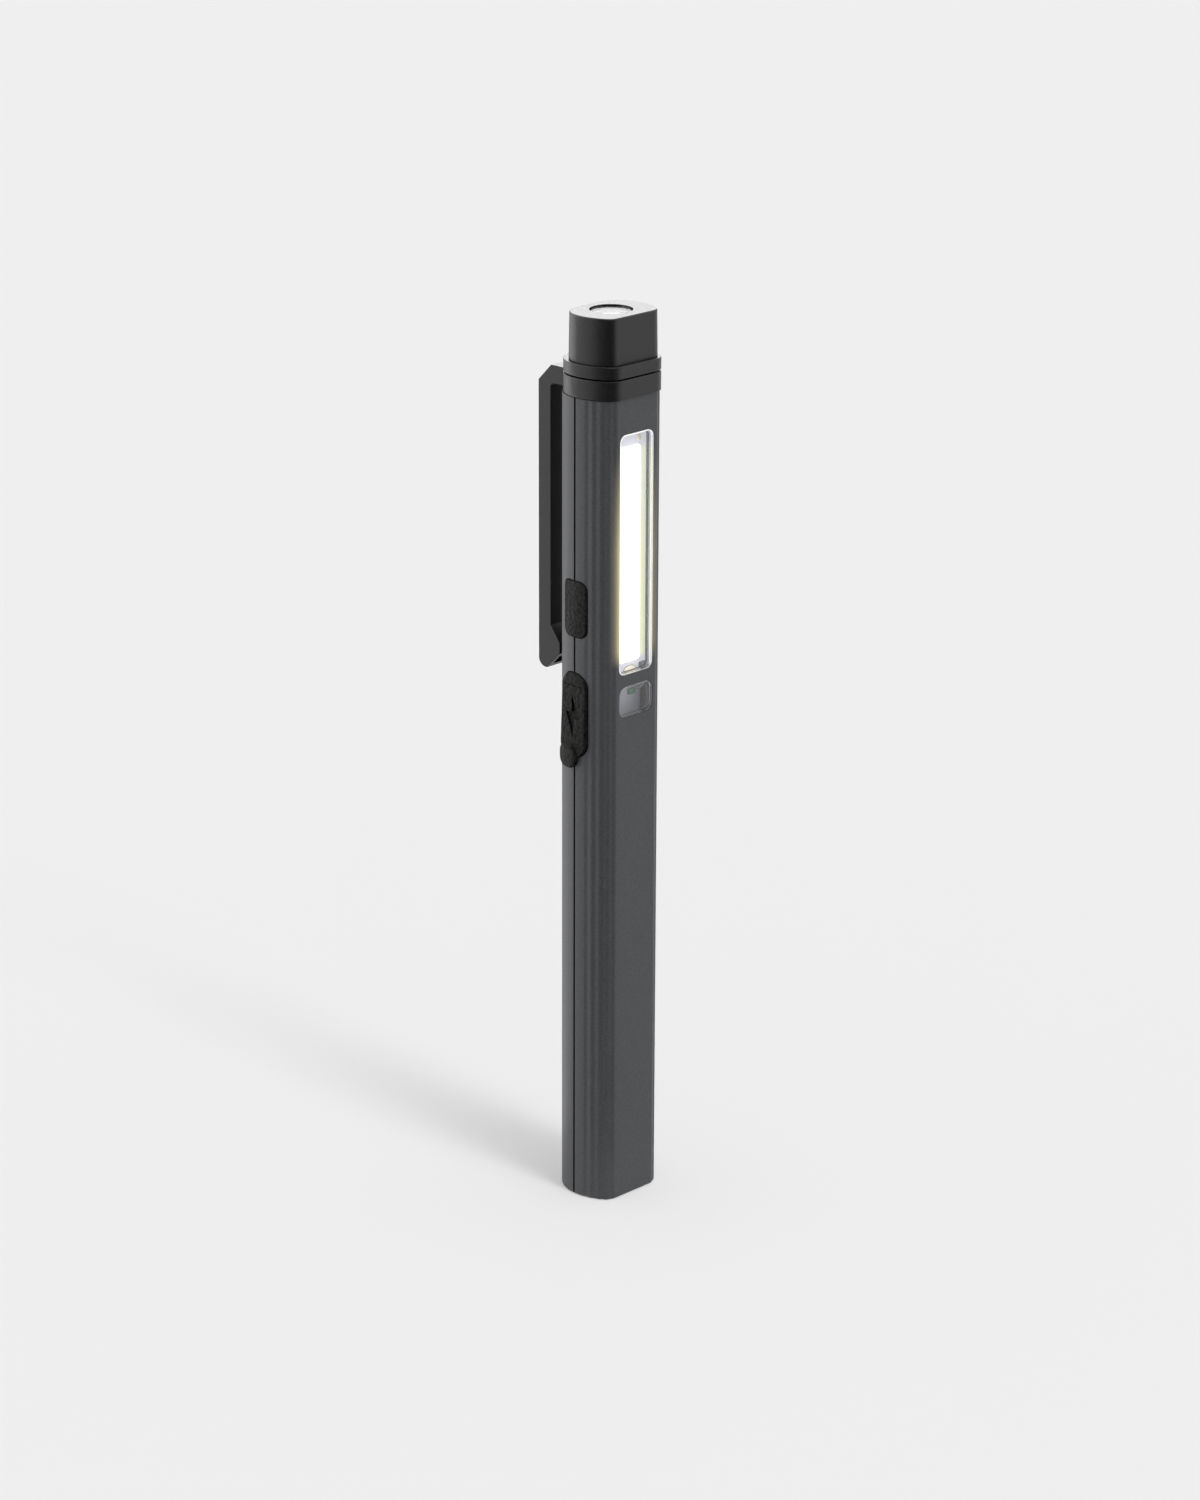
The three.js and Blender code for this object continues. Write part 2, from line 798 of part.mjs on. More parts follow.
function withInnerRibs(shell, keepFront) {
  const reach = barrelBack + barrelHalfWidth;
  const half = keepFront
    ? box(-reach, reach, -reach, partingPlane - partingGap / 2, 0, overallLength)
    : box(-reach, reach, partingPlane + partingGap / 2, reach, 0, overallLength);
  let body = shell;
  for (const height of cradleHeights) body = body.add(cellCradle(height).intersect(toSolid(half)));
  return body.add(magnetSeat().intersect(toSolid(half)));
}

// Front half: window openings, screw bosses
function frontShell() {
  let body = withInnerRibs(barrelHalf(true), true);
  const bossTopY = partingPlane - partingGap / 2;
  for (const height of screwHeights) {
    body = body.add(toSolid(cylinderY(screwBossRadius, 0, height, wallInnerY - wall / 2, bossTopY)));
  }
  for (const height of screwHeights) {
    body = cut(body, cylinderY(screwRadius + runningGap, 0, height, wallInnerY, bossTopY + cutOverrun));
  }
  body = body.add(toSolid(box(
    -boardRibHalfWidth,
    boardRibHalfWidth,
    wallInnerY - wall / 2,
    mainBoardFrontY - seam,
    mainBoardBottomZ + boardRibRise - boardRibThickness / 2,
    mainBoardBottomZ + boardRibRise + boardRibThickness / 2,
  )));
  return cut(
    body,
    windowOpening(windowHeight, windowCornerRadius, windowCentreZ),
    windowOpening(smallWindowHeight, smallWindowCornerRadius, smallWindowCentreZ),
  );
}
addPiece('front_shell', frontShell(), 'barrelPlastic');

// Back half: sealing lip, screw bosses with sunk heads, ribs behind the lamp
function backShell() {
  let body = withInnerRibs(barrelHalf(false), false);
  const plane = partingPlane + partingGap / 2;
  const lipOuter = inset(barrel, wall + fit);
  const lipInner = inset(lipOuter, lipThickness);
  const lipRing = cut(
    sectionSolid(lipOuter, footWall + fit, shoulderZ - shoulderThickness - fit),
    sectionPrism(lipInner, footWall + fit - cutOverrun, shoulderZ),
  );
  const lipTopZ = shoulderZ - shoulderThickness - cutOverrun;
  const lipBand = toSolid(box(
    -barrelHalfWidth,
    barrelHalfWidth,
    partingPlane - partingGap / 2 - lipDepth,
    plane + lipDepth,
    magnetTop + cutOverrun,
    lipTopZ,
  ));
  const lipRoot = cut(
    sectionSolid(inset(barrel, wall / 2), magnetTop + cutOverrun, lipTopZ),
    sectionPrism(lipInner, 0, shoulderZ),
  ).intersect(toSolid(box(-barrelHalfWidth, barrelHalfWidth, plane, plane + lipDepth, 0, shoulderZ)));
  const sideRoom = box(
    -barrelHalfWidth,
    0,
    -barrelFront,
    barrelBack,
    coverFootZ - recessMargin - runningGap,
    buttonCentreZ + buttonHeight / 2 + buttonFlangeWidth + 2 * runningGap,
  );
  body = body.add(cut(lipRing.intersect(lipBand).add(lipRoot), sideRoom));
  for (const height of screwHeights) {
    body = body.add(toSolid(cylinderY(screwBossRadius, 0, height, plane, barrelBack - wall / 2)));
  }
  for (const height of postHeights) {
    const post = cylinderY(boardPostRadius, boardPostX, height, mainBoardBackY + seam, barrelBack);
    body = body.add(toSolid(post).intersect(sectionSolid(inset(barrel, wall / 2), 0, shoulderZ)));
  }
  for (const height of ribHeights) {
    const rib = toSolid(box(
      -ribHalfWidth,
      ribHalfWidth,
      heatPlateBackY + runningGap,
      barrelBack - wall / 2,
      height - ribThickness / 2,
      height + ribThickness / 2,
    ));
    const notch = box(
      -ribNotchHalfWidth,
      ribNotchHalfWidth,
      heatPlateBackY,
      heatPlateBackY + ribNotchDepth,
      height - ribThickness,
      height + ribThickness,
    );
    body = body.add(cut(rib, notch));
  }
  for (const height of screwHeights) {
    body = cut(
      body,
      cylinderY(screwRadius + runningGap, 0, height, -barrelFront, barrelBack + cutOverrun),
      cylinderY(screwHeadRadius + fit, 0, height, screwHeadSeatY, barrelBack + cutOverrun),
    );
  }
  return body;
}

addPiece('back_shell', backShell(), 'barrelPlastic');

// Collar around the neck; the clip's arm starts at its back
const clipArmTopZ = flangeBottomZ - seam - clipArmInset;
const clipArmBottomZ = shoulderZ + clipArmInset;
const clipTipZ = shoulderZ - clipLength;
const clipOuterY = barrelBack + clipReach;

function clipCollar() {
  const ring = sectionPrism(collarSection, shoulderZ, flangeBottomZ - seam);
  const hole = sectionPrism(inset(barrel, neckInset - fit), shoulderZ - cutOverrun, flangeTopZ);
  return cut(toSolid(ring), hole);
}
addPiece('clip_collar', clipCollar(), 'headPlastic');

// Pocket clip: arm, long blade and a wedge that presses on the barrel
function filletArc(centreY, centreZ, radius, fromTurn, toTurn) {
  const points = [];
  for (let i = 0; i <= roundSteps; i += 1) {
    const angle = 2 * Math.PI * (fromTurn + ((toTurn - fromTurn) * i) / roundSteps);
    points.push([centreY + radius * Math.cos(angle), centreZ + radius * Math.sin(angle)]);
  }
  return points;
}

function clipProfile() {
  const innerY = clipOuterY - clipThickness;
  const padY = barrelBack + clipPadGap;
  const rootY = collarBack / 2;
  const heel = clipFilletRadius;
  return [
    [rootY, clipArmTopZ],
    [rootY, clipArmBottomZ],
    [innerY - heel, clipArmBottomZ],
    ...filletArc(innerY - heel, clipArmBottomZ - heel, heel, 1 / 4, 0).slice(1),
    [innerY, clipTipZ + clipPadRise],
    [padY, clipTipZ + clipPadHeelRise],
    [padY, clipTipZ + clipPadFootRise],
    [padY + clipPadFootRise, clipTipZ],
    ...filletArc(clipOuterY - clipTipRadius, clipTipZ + clipTipRadius, clipTipRadius, 3 / 4, 1),
    [clipOuterY, clipArmTopZ - clipChamfer],
    [clipOuterY - clipChamfer, clipArmTopZ],
  ].map(([y, z]) => new THREE.Vector2(y, z));
}

// Hollow in the wedge, open at its slanted foot
function clipPocket() {
  const frontY = barrelBack + clipPadGap + clipPocketWall;
  const backY = clipOuterY - clipPocketOuterWall;
  const rampY = barrelBack + clipPadGap + clipPadFootRise - clipPocketWall;
  const outline = [
    [frontY, clipTipZ + clipPocketRise],
    [frontY, clipTipZ],
    [rampY, clipTipZ],
    [rampY, clipTipZ + clipPocketWall],
    [backY, clipTipZ + clipPocketWall + backY - rampY],
    [backY, clipTipZ + clipPocketRise],
  ].map(([y, z]) => new THREE.Vector2(y, z));
  const halfWidth = clipHalfWidth - clipPocketWall;
  return facingSide(outline, -halfWidth, halfWidth);
}

function pocketClip() {
  const body = facingSide(clipProfile(), -clipHalfWidth, clipHalfWidth);
  const bevels = [];
  for (const side of [-1, 1]) {
    const bar = new THREE.BoxGeometry(2 * clipEdge, 2 * clipEdge, 2 * overallLength);
    bar.rotateZ(Math.PI / 4);
    bar.translate(side * clipHalfWidth, clipOuterY, 0);
    bevels.push(bar);
  }
  const collarRoom = sectionPrism(
    inset(collarSection, -runningGap),
    shoulderZ - cutOverrun,
    overallLength,
  );
  return cut(toSolid(body), collarRoom, clipPocket(), ...bevels);
}
addPiece('pocket_clip', pocketClip(), 'headPlastic');

// Head cap: flange, drafted cap with a softened top edge, plug into the neck
const boreRadius = lensDiameter / 2 + fit / 2;
const lensTopZ = overallLength - lensRecess;
const lensBottomZ = lensTopZ - lensThickness;
const sealBottomZ = lensBottomZ - sealThickness;
const headFloorZ = flangeTopZ + headFloorThickness / 2;
const headBoardTopZ = headFloorZ + headBoardThickness;
const headLedTopZ = headBoardTopZ + headLedHeight;

function headCap() {
  const layers = [
    { points: sectionOutline(capSection), z: flangeTopZ },
    { points: sectionOutline(inset(capSection, capDraft)), z: overallLength - capEdgeRadius },
    { points: sectionOutline(inset(capSection, capDraft + capEdgeRadius)), z: overallLength },
  ];
  const flange = sectionPrism(collarSection, flangeBottomZ, flangeTopZ);
  const plugSection = inset(barrel, neckInset + neckWall + fit);
  const plug = sectionPrism(plugSection, flangeBottomZ - plugDepth, flangeTopZ);
  const plugHollow = sectionPrism(
    inset(plugSection, plugWall),
    flangeBottomZ - plugDepth - cutOverrun,
    headFloorZ - headFloorThickness,
  );
  return cut(
    joined(stack(layers), flange, plug),
    plugHollow,
    cylinderZ(boreRadius, 0, 0, headFloorZ, overallLength + cutOverrun),
    cylinderZ(leadHoleRadius, 0, 0, flangeBottomZ, overallLength, smallCircleSteps),
  );
}
addPiece('head_cap', headCap(), 'headPlastic');

// Head lens, seal, reflector, lamp and board
addPiece('head_lens', turned([
  [0, lensBottomZ],
  [lensDiameter / 2 - fit / 2, lensBottomZ],
  [lensDiameter / 2 - fit / 2, lensTopZ - lensDome],
  [lensDiameter / 4, lensTopZ - lensDome / 4],
  [0, lensTopZ],
]), 'clearPlastic');

addPiece('head_seal', turned([
  [lensDiameter / 2 - sealWidth - fit, sealBottomZ + seam / 2],
  [lensDiameter / 2 - fit, sealBottomZ + seam / 2],
  [lensDiameter / 2 - fit, lensBottomZ - seam / 2],
  [lensDiameter / 2 - sealWidth - fit, lensBottomZ - seam / 2],
  [lensDiameter / 2 - sealWidth - fit, sealBottomZ + seam / 2],
]), 'rubber');

function headReflector() {
  const outer = lensDiameter / 2 - fit;
  const bottom = headBoardTopZ + seam;
  const depth = sealBottomZ - bottom;
  const flare = outer - reflectorWall - reflectorThroatRadius;
  const bowl = [];
  for (let i = 0; i <= cornerSteps; i += 1) {
    const share = i / cornerSteps;
    bowl.push([reflectorThroatRadius + flare * Math.sqrt(share), bottom + depth * share]);
  }
  return turned([
    [outer, bottom],
    [outer, sealBottomZ],
    ...bowl.reverse(),
    [outer, bottom],
  ]);
}
addPiece('head_reflector', headReflector(), 'mirrorPlastic');

addPiece('head_led', box(
  -headLedWidth / 2,
  headLedWidth / 2,
  -headLedWidth / 2,
  headLedWidth / 2,
  headBoardTopZ,
  headLedTopZ,
), 'phosphor');

addPiece('head_board', cylinderZ(
  lensDiameter / 2 - fit,
  0,
  0,
  headFloorZ + seam,
  headBoardTopZ - seam / 3,
), 'whiteBoard');

// Long window, its gasket, the lamp board and the heat plate
addPiece('cob_window', windowTray(windowHeight, windowCornerRadius, windowCentreZ), 'clearPlastic');

function gasketOutline(grow) {
  return roundedRectangle(
    2 * (windowHalfWidth + gasketSideReach + grow),
    windowHeight + 2 * (gasketEndReach + grow),
    windowCornerRadius + grow,
    0,
    windowCentreZ,
  );
}

function windowGasket() {
  const ring = facingFront(gasketOutline(0), gasketFrontY, gasketBackY);
  const hole = facingFront(
    gasketOutline(-gasketWidth),
    gasketFrontY - cutOverrun,
    gasketBackY + cutOverrun,
  );
  return cut(toSolid(ring), hole);
}
addPiece('window_gasket', windowGasket(), 'whiteFoam');

function lampPlate(halfWidth, fromY, toY) {
  return box(
    -halfWidth,
    halfWidth,
    fromY,
    toY,
    windowBottomZ - boardEndReach,
    windowTopZ + boardEndReach,
  );
}
addPiece('cob_board', lampPlate(boardHalfWidth, boardFrontY, boardBackY), 'whiteBoard');
addPiece('heat_plate', lampPlate(windowHalfWidth, heatPlateFrontY, heatPlateBackY), 'aluminium');

const stripTopZ = windowTopZ - stripTopMargin;
const stripBottomZ = windowBottomZ + stripBottomMargin;
addPiece('cob_strip', facingFront(
  roundedRectangle(
    2 * stripHalfWidth,
    stripTopZ - stripBottomZ,
    stripHalfWidth / 2,
    0,
    (stripBottomZ + stripTopZ) / 2,
  ),
  boardFrontY - stripThickness,
  boardFrontY,
), 'phosphor');

const resistorX = windowHalfWidth - resistorSideInset;
const resistorZ = windowBottomZ + resistorRise;
addPiece('cob_resistor', box(
  resistorX - resistorWidth / 2,
  resistorX + resistorWidth / 2,
  boardFrontY - resistorThickness,
  boardFrontY,
  resistorZ - resistorHeight / 2,
  resistorZ + resistorHeight / 2,
), 'blackPlastic');

function solderJoint(x, z) {
  const dome = turned([
    [0, 0],
    [solderRadius, 0],
    [solderRadius * Math.cos(Math.PI / 4), solderRadius * Math.sin(Math.PI / 4) / 2],
    [0, solderRadius / 2],
  ], smallCircleSteps);
  dome.rotateX(Math.PI / 2);
  dome.translate(x, boardFrontY, z);
  return dome;
}
addPiece('cob_solder_lower', solderJoint(lowerSolderOffset, windowBottomZ - lowerSolderDrop), 'solder');
addPiece(
  'cob_solder_upper',
  solderJoint(windowHalfWidth - upperSolderSideInset, windowTopZ - upperSolderDrop),
  'solder',
);

// Small window and the charge lamps behind it
addPiece(
  'indicator_window',
  windowTray(smallWindowHeight, smallWindowCornerRadius, smallWindowCentreZ),
  'clearPlastic',
);

function chargeLamp(side) {
  const centre = chargeLedOffset + (side * chargeLedSpacing) / 2;
  return box(
    centre - chargeLedWidth / 2,
    centre + chargeLedWidth / 2,
    mainBoardFrontY - chargeLedThickness,
    mainBoardFrontY,
    smallWindowCentreZ - chargeLedHeight / 2,
    smallWindowCentreZ + chargeLedHeight / 2,
  );
}
addPiece('indicator_led_red', chargeLamp(-1), 'redLens');
addPiece('indicator_led_green', chargeLamp(1), 'greenLens');

// Main board and its power parts
addPiece('main_board', box(
  mainBoardLeftX,
  mainBoardRightX,
  mainBoardFrontY,
  mainBoardBackY,
  mainBoardBottomZ,
  mainBoardTopZ,
), 'whiteBoard');

function chip(centreZ) {
  return box(
    powerPartsX - chipWidth / 2,
    powerPartsX + chipWidth / 2,
    mainBoardBackY,
    mainBoardBackY + chipThickness,
    centreZ - chipWidth / 2,
    centreZ + chipWidth / 2,
  );
}
addPiece('driver_chip', chip(buttonCentreZ - driverChipDrop), 'blackPlastic');
addPiece('charge_chip', chip(mainBoardBottomZ + chargeChipRise), 'blackPlastic');
addPiece('driver_inductor', cylinderY(
  inductorRadius,
  powerPartsX,
  mainBoardTopZ - inductorDrop,
  mainBoardBackY,
  mainBoardBackY + inductorThickness,
  circleSteps,
), 'blackPlastic');

// Tactile switch and its plunger
const switchFrontX = mainBoardLeftX;
const plungerTipX = switchFrontX - plungerReach;
const plungerY = sideAxisOffset;

function switchBody() {
  const body = box(
    switchFrontX,
    switchFrontX + switchDepth,
    mainBoardBackY,
    mainBoardBackY + switchThickness,
    buttonCentreZ - switchHeight / 2,
    buttonCentreZ + switchHeight / 2,
  );
  const hole = cylinderX(
    plungerRadius + fit,
    plungerY,
    buttonCentreZ,
    switchFrontX - cutOverrun,
    switchFrontX + plungerSeatDepth + buttonTravel + runningGap,
  );
  return cut(toSolid(body), hole);
}
addPiece('switch_body', switchBody(), 'blackPlastic');
addPiece('switch_plunger', cylinderX(
  plungerRadius,
  plungerY,
  buttonCentreZ,
  plungerTipX,
  switchFrontX + plungerSeatDepth,
), 'whiteFoam');

// Button: a curved face in the barrel's side, a flange behind the wall and a post to the switch
function sideButton() {
  const outer = inset(barrel, -buttonProud);
  const face = facingSide(
    roundedRectangle(buttonWidth, buttonHeight, buttonCornerRadius, sideAxisOffset, buttonCentreZ),
    -(barrelHalfWidth + cutOverrun),
    -(barrelHalfWidth - buttonFlangeDepth - runningGap),
  );
  const curved = toSolid(face).intersect(sectionSolid(outer, 0, shoulderZ));
  const plateX = -(barrelHalfWidth - buttonFlangeDepth);
  const plate = facingSide(
    roundedRectangle(
      buttonWidth + 2 * buttonFlangeWidth,
      buttonHeight + 2 * (buttonFlangeWidth + runningGap),
      buttonCornerRadius,
      sideAxisOffset,
      buttonCentreZ,
    ),
    plateX,
    plateX + buttonFlangeThickness,
  );
  const post = cylinderX(buttonPostRadius, plungerY, buttonCentreZ, plateX, plungerTipX - fit);
  return curved.add(toSolid(plate)).add(toSolid(post));
}
addPiece('side_button', sideButton(), 'rubber');

// Charging socket: a thin shell with a tongue inside
function usbShell() {
  const outer = facingSide(socketOutline(0), -socketMouthX, socketDepth - socketMouthX);
  const inner = facingSide(
    socketOutline(-socketWall),
    -(socketMouthX + cutOverrun),
    socketDepth - socketMouthX - 2 * socketWall,
  );
  return cut(toSolid(outer), inner);
}
addPiece('usb_shell', usbShell(), 'steel');
addPiece('usb_tongue', box(
  tongueSetback - socketMouthX,
  socketDepth - socketMouthX - 2 * socketWall - seam,
  mainBoardBackY + socketThickness / 2 - tongueThickness / 2,
  mainBoardBackY + socketThickness / 2 + tongueThickness / 2,
  coverCentreZ - tongueWidth / 2,
  coverCentreZ + tongueWidth / 2,
), 'blackPlastic');

// Rubber port cover: the flap that swings, and the short upper end that stays pinned
function coverSkin(bottom, top) {
  const blank = toSolid(facingSide(
    coverOutline(0),
    -(barrelHalfWidth + nubProud + cutOverrun),
    -(recessFloorX + runningGap),
  ));
  const skin = toSolid(stack([
    { points: sectionOutline(inset(barrel, -coverProudFoot)), z: coverFootZ - cutOverrun },
    { points: sectionOutline(inset(barrel, -coverProudTop)), z: coverTopZ + cutOverrun },
  ]));
  const reach = barrelHalfWidth + nubProud + cutOverrun;
  const band = toSolid(box(-reach, 0, -reach, reach, bottom, top));
  return blank.intersect(skin).intersect(band);
}

function portTether() {
  const top = coverSkin(tetherFootZ, coverTopZ + cutOverrun);
  const pin = cylinderX(
    tetherPinRadius,
    sideAxisOffset,
    tetherPinZ,
    -(recessFloorX + runningGap + fit),
    padInnerX + fit,
  );
  const bulb = cylinderX(
    tetherBulbRadius,
    sideAxisOffset,
    tetherPinZ,
    padInnerX + fit,
    padInnerX + fit + tetherBulbLength,
  );
  return top.add(toSolid(pin)).add(toSolid(bulb));
}
addPiece('port_tether', portTether(), 'rubber');

function portCover() {
  const flap = coverSkin(coverFootZ - cutOverrun, tetherFootZ - runningGap);
  const nubCentreZ = coverFootZ - nubDrop + nubHeight / 2;
  const nubBlank = toSolid(facingSide(
    roundedRectangle(nubWidth, nubHeight, nubCornerRadius, sideAxisOffset + nubOffset, nubCentreZ),
    -(barrelHalfWidth + nubProud + cutOverrun),
    -(barrelHalfWidth + runningGap),
  ));
  const nub = nubBlank.intersect(sectionSolid(inset(barrel, -nubProud), 0, shoulderZ));
  const bung = toSolid(facingSide(
    socketOutline(0),
    -(recessFloorX + runningGap + fit),
    -(recessFloorX - bungThickness),
  ));
  return flap.add(nub).add(bung);
}
addPiece('port_cover', portCover(), 'rubber');

// Battery cell with its raised terminal and welded tabs
addPiece('battery_cell', cylinderZ(cellRadius, 0, cellOffset, cellBottomZ, cellTopZ), 'cellWrap');
addPiece('battery_button', cylinderZ(
  terminalRadius,
  0,
  cellOffset,
  cellTopZ,
  cellTopZ + terminalHeight,
), 'nickel');

function batteryTab(bottom) {
  return box(
    -tabWidth / 2,
    tabWidth / 2,
    cellOffset - tabLength / 2,
    cellOffset + tabLength / 2,
    bottom,
    bottom + tabThickness,
  );
}
addPiece('battery_tab_upper', batteryTab(cellTopZ + terminalHeight), 'nickel');
addPiece('battery_tab_lower', batteryTab(cellBottomZ - tabThickness), 'nickel');

// Foot magnet
addPiece('base_magnet', cylinderZ(magnetRadius, 0, magnetY, magnetBottom, magnetTop), 'nickel');

// Case screws
function caseScrew(height) {
  const shank = cylinderY(screwRadius, 0, height, screwTipY, screwHeadSeatY + screwHeadThickness / 2);
  const head = cylinderY(
    screwHeadRadius,
    0,
    height,
    screwHeadSeatY + seam,
    screwHeadSeatY + screwHeadThickness,
    circleSteps,
  );
  const socket = cylinderY(
    screwSocketRadius,
    0,
    height,
    screwHeadSeatY + screwHeadThickness - screwSocketDepth,
    barrelBack,
    hexSides,
  );
  return cut(joined(shank, head), socket);
}
addPiece('case_screw_lower', caseScrew(screwHeights[0]), 'steel');
addPiece('case_screw_upper', caseScrew(screwHeights[1]), 'steel');

// Leads: round wires along smooth paths
function lead(points) {
  const path = new THREE.CatmullRomCurve3(points.map(([x, y, z]) => new THREE.Vector3(x, y, z)));
  const ring = [];
  for (let i = 0; i < leadSides; i += 1) {
    const angle = (2 * Math.PI * i) / leadSides;
    ring.push(new THREE.Vector2(leadRadius * Math.cos(angle), leadRadius * Math.sin(angle)));
  }
  return new THREE.ExtrudeGeometry(new THREE.Shape(ring), {
    steps: leadSides * (points.length - 1),
    extrudePath: path,
  });
}

const boardMiddleY = (mainBoardFrontY + mainBoardBackY) / 2;

addPiece('lead_battery_positive', lead([
  [0, cellOffset, cellTopZ + terminalHeight + tabThickness + leadGap],
  [leadBend, cellOffset, cellTopZ + terminalHeight + leadBend],
  [screwBossRadius + leadStandOff, boardMiddleY + leadBend, screwHeights[1]],
  [screwBossRadius + leadStandOff, boardMiddleY, mainBoardBottomZ - leadGap],
]), 'redWire');

addPiece('lead_battery_negative', lead([
  [-tabWidth / 2, cellOffset, cellBottomZ - tabThickness - leadStandOff],
  [leadRunX, boardMiddleY, cellBottomZ - leadBend],
  [leadRunX, -barrelFront * leadRunDepthShare, cellBottomZ + leadBend],
  [leadRunX, -barrelFront * leadRunDepthShare, cellTopZ - leadBend],
  [leadRunX, boardMiddleY, cellTopZ + leadBend],
  [-(screwBossRadius + leadStandOff), boardMiddleY, screwHeights[1]],
  [-(screwBossRadius + leadStandOff), boardMiddleY, mainBoardBottomZ - leadGap],
]), 'blackWire');

function headLead(side) {
  return lead([
    [side * leadBend / 2, boardMiddleY, mainBoardTopZ + leadGap],
    [side * leadBend / 2, boardMiddleY + leadBend / 2, mainBoardTopZ + leadBend],
    [side * headLeadOffset, leadBend / 2, ribHeights[1]],
    [side * headLeadOffset, 0, shoulderZ],
    [side * headLeadOffset, 0, headFloorZ],
  ]);
}
addPiece('lead_head_positive', headLead(1), 'redWire');
addPiece('lead_head_negative', headLead(-1), 'blackWire');

function stripLead(side) {
  const x = side * (boardHalfWidth - leadStandOff);
  const endZ = windowBottomZ - boardEndReach - leadGap;
  return lead([
    [x, (boardFrontY + boardBackY) / 2, endZ],
    [x, (boardFrontY + boardBackY) / 2, endZ - leadBend / 2],
    [x, mainBoardFrontY - leadGap, endZ - leadBend],
  ]);
}
addPiece('lead_strip_positive', stripLead(1), 'redWire');
addPiece('lead_strip_negative', stripLead(-1), 'blackWire');

export default penlight;
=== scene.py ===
# Rechargeable penlight: the finished look of the two-part barrel, its head, clip, button and port
# cover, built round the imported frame. Shapes are made in millimetres and scaled to metres at the end.
import math

import bmesh
import bpy
from mathutils import Matrix, Vector


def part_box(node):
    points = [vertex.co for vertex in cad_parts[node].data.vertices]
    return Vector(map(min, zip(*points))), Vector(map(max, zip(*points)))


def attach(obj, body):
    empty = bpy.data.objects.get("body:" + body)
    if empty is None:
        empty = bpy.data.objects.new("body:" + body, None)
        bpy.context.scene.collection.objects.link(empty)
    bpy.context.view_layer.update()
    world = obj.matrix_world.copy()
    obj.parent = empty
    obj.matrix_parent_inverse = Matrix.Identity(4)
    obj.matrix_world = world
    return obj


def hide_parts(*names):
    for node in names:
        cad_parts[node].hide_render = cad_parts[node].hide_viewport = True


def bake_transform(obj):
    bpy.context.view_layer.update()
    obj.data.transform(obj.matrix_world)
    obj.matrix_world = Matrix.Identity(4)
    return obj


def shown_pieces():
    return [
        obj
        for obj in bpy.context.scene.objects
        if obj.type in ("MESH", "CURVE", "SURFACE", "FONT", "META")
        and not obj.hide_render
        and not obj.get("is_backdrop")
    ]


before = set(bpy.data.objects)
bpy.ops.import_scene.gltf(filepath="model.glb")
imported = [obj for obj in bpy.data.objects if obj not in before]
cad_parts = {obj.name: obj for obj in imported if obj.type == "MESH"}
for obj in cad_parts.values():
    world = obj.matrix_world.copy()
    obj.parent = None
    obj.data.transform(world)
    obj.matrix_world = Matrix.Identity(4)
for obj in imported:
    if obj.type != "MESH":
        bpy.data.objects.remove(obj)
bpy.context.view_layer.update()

MM = 0.001


# Sizes read from the frame, in millimetres
def box_mm(node):
    low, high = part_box(node)
    return low / MM, high / MM


front_low, front_high = box_mm("front_shell")
back_high = box_mm("back_shell")[1]
collar_low, collar_high = box_mm("clip_collar")
cap_high = box_mm("head_cap")[1]
window_low, window_high = box_mm("cob_window")
small_low, small_high = box_mm("indicator_window")
button_low, button_high = box_mm("side_button")
tether_low, tether_high = box_mm("port_tether")
flap_low, flap_high = box_mm("port_cover")
lens_low, lens_high = box_mm("head_lens")
clip_low, clip_high = box_mm("pocket_clip")
strip_low, strip_high = box_mm("cob_strip")
socket_low, socket_high = box_mm("usb_shell")
reflector_low, reflector_high = box_mm("head_reflector")

BARREL_HALF_WIDTH = front_high.x
BARREL_FRONT = -front_low.y
BARREL_BACK = back_high.y
SHOULDER_Z = collar_low.z
COLLAR_TOP_Z = collar_high.z
TOP_Z = cap_high.z
REACH = 2 * BARREL_BACK

# Sizes of the barrel and head in millimetres
SEAM = 0.15
HEAD_SEAM = 0.28
FIT = 0.2
GAP = 0.3
OVERRUN = 1.0
WALL = 1.3
FOOT_WALL = 1.6
FOOT_EDGE = 0.45
PARTING_Y = 0.7
PARTING_HALF_GAP = 0.2
GROOVE_DEPTH = 0.8
RIB_GAP = 0.04
RIB_OVERLAP = 0.1
LIP_DEPTH = 1.0
LIP_THICKNESS = 0.5
FLUTE_COUNT = 4
FLUTE_PITCH = 1.57
FLUTE_DEPTH = 0.13
FLUTE_OFFSET = 1.5
PLUG_LENGTH = 3.0
BORE_FLOOR_DEPTH = 1.2
FLANGE_HEIGHT = 2.35
NECK_INSET = 1.9
NECK_WALL = 1.2
SHOULDER_THICKNESS = 1.5
CAP_DRAFT = 0.12
CAP_EDGE = 0.25
CAP_GROOVE_DEPTH = 0.16
CAP_GROOVE_HEIGHT = 0.08
SOFT_EDGE = 0.12
SMALLEST_CORNER = 0.4
SIDE_AXIS_Y = 0.8

# Radii of each section: side, corner, side of the back and corner of the back
BARREL_RADII = (9.9, 2.8, 11.7, 7.7)
COLLAR_RADII = (10.05, 3.1, 10.05, 7.0)
CAP_RADII = (9.45, 2.4, 9.45, 5.4)

# How far the cap stands in from the collar
CAP_SIDE_INSET = 0.58
CAP_FRONT_INSET = 0.83
CAP_BACK_INSET = 1.7

# Sizes of the windows that their finish needs too
WINDOW_FLANGE = 0.7
WINDOW_CORNER = 1.3
SMALL_WINDOW_CORNER = 1.6
WINDOW_EDGE = 0.16
EDGE_PAINTED_GLOW_WIDTH = 0.08

# Depths of the grain of the finishes
BARREL_GRAIN = 0.03
SATIN_GRAIN = 0.012
RUBBER_GRAIN = 0.14
FOAM_GRAIN = 0.05
SOLDER_GRAIN = 0.02
MOULD_GRAIN = 0.01
METAL_GRAIN = 0.004

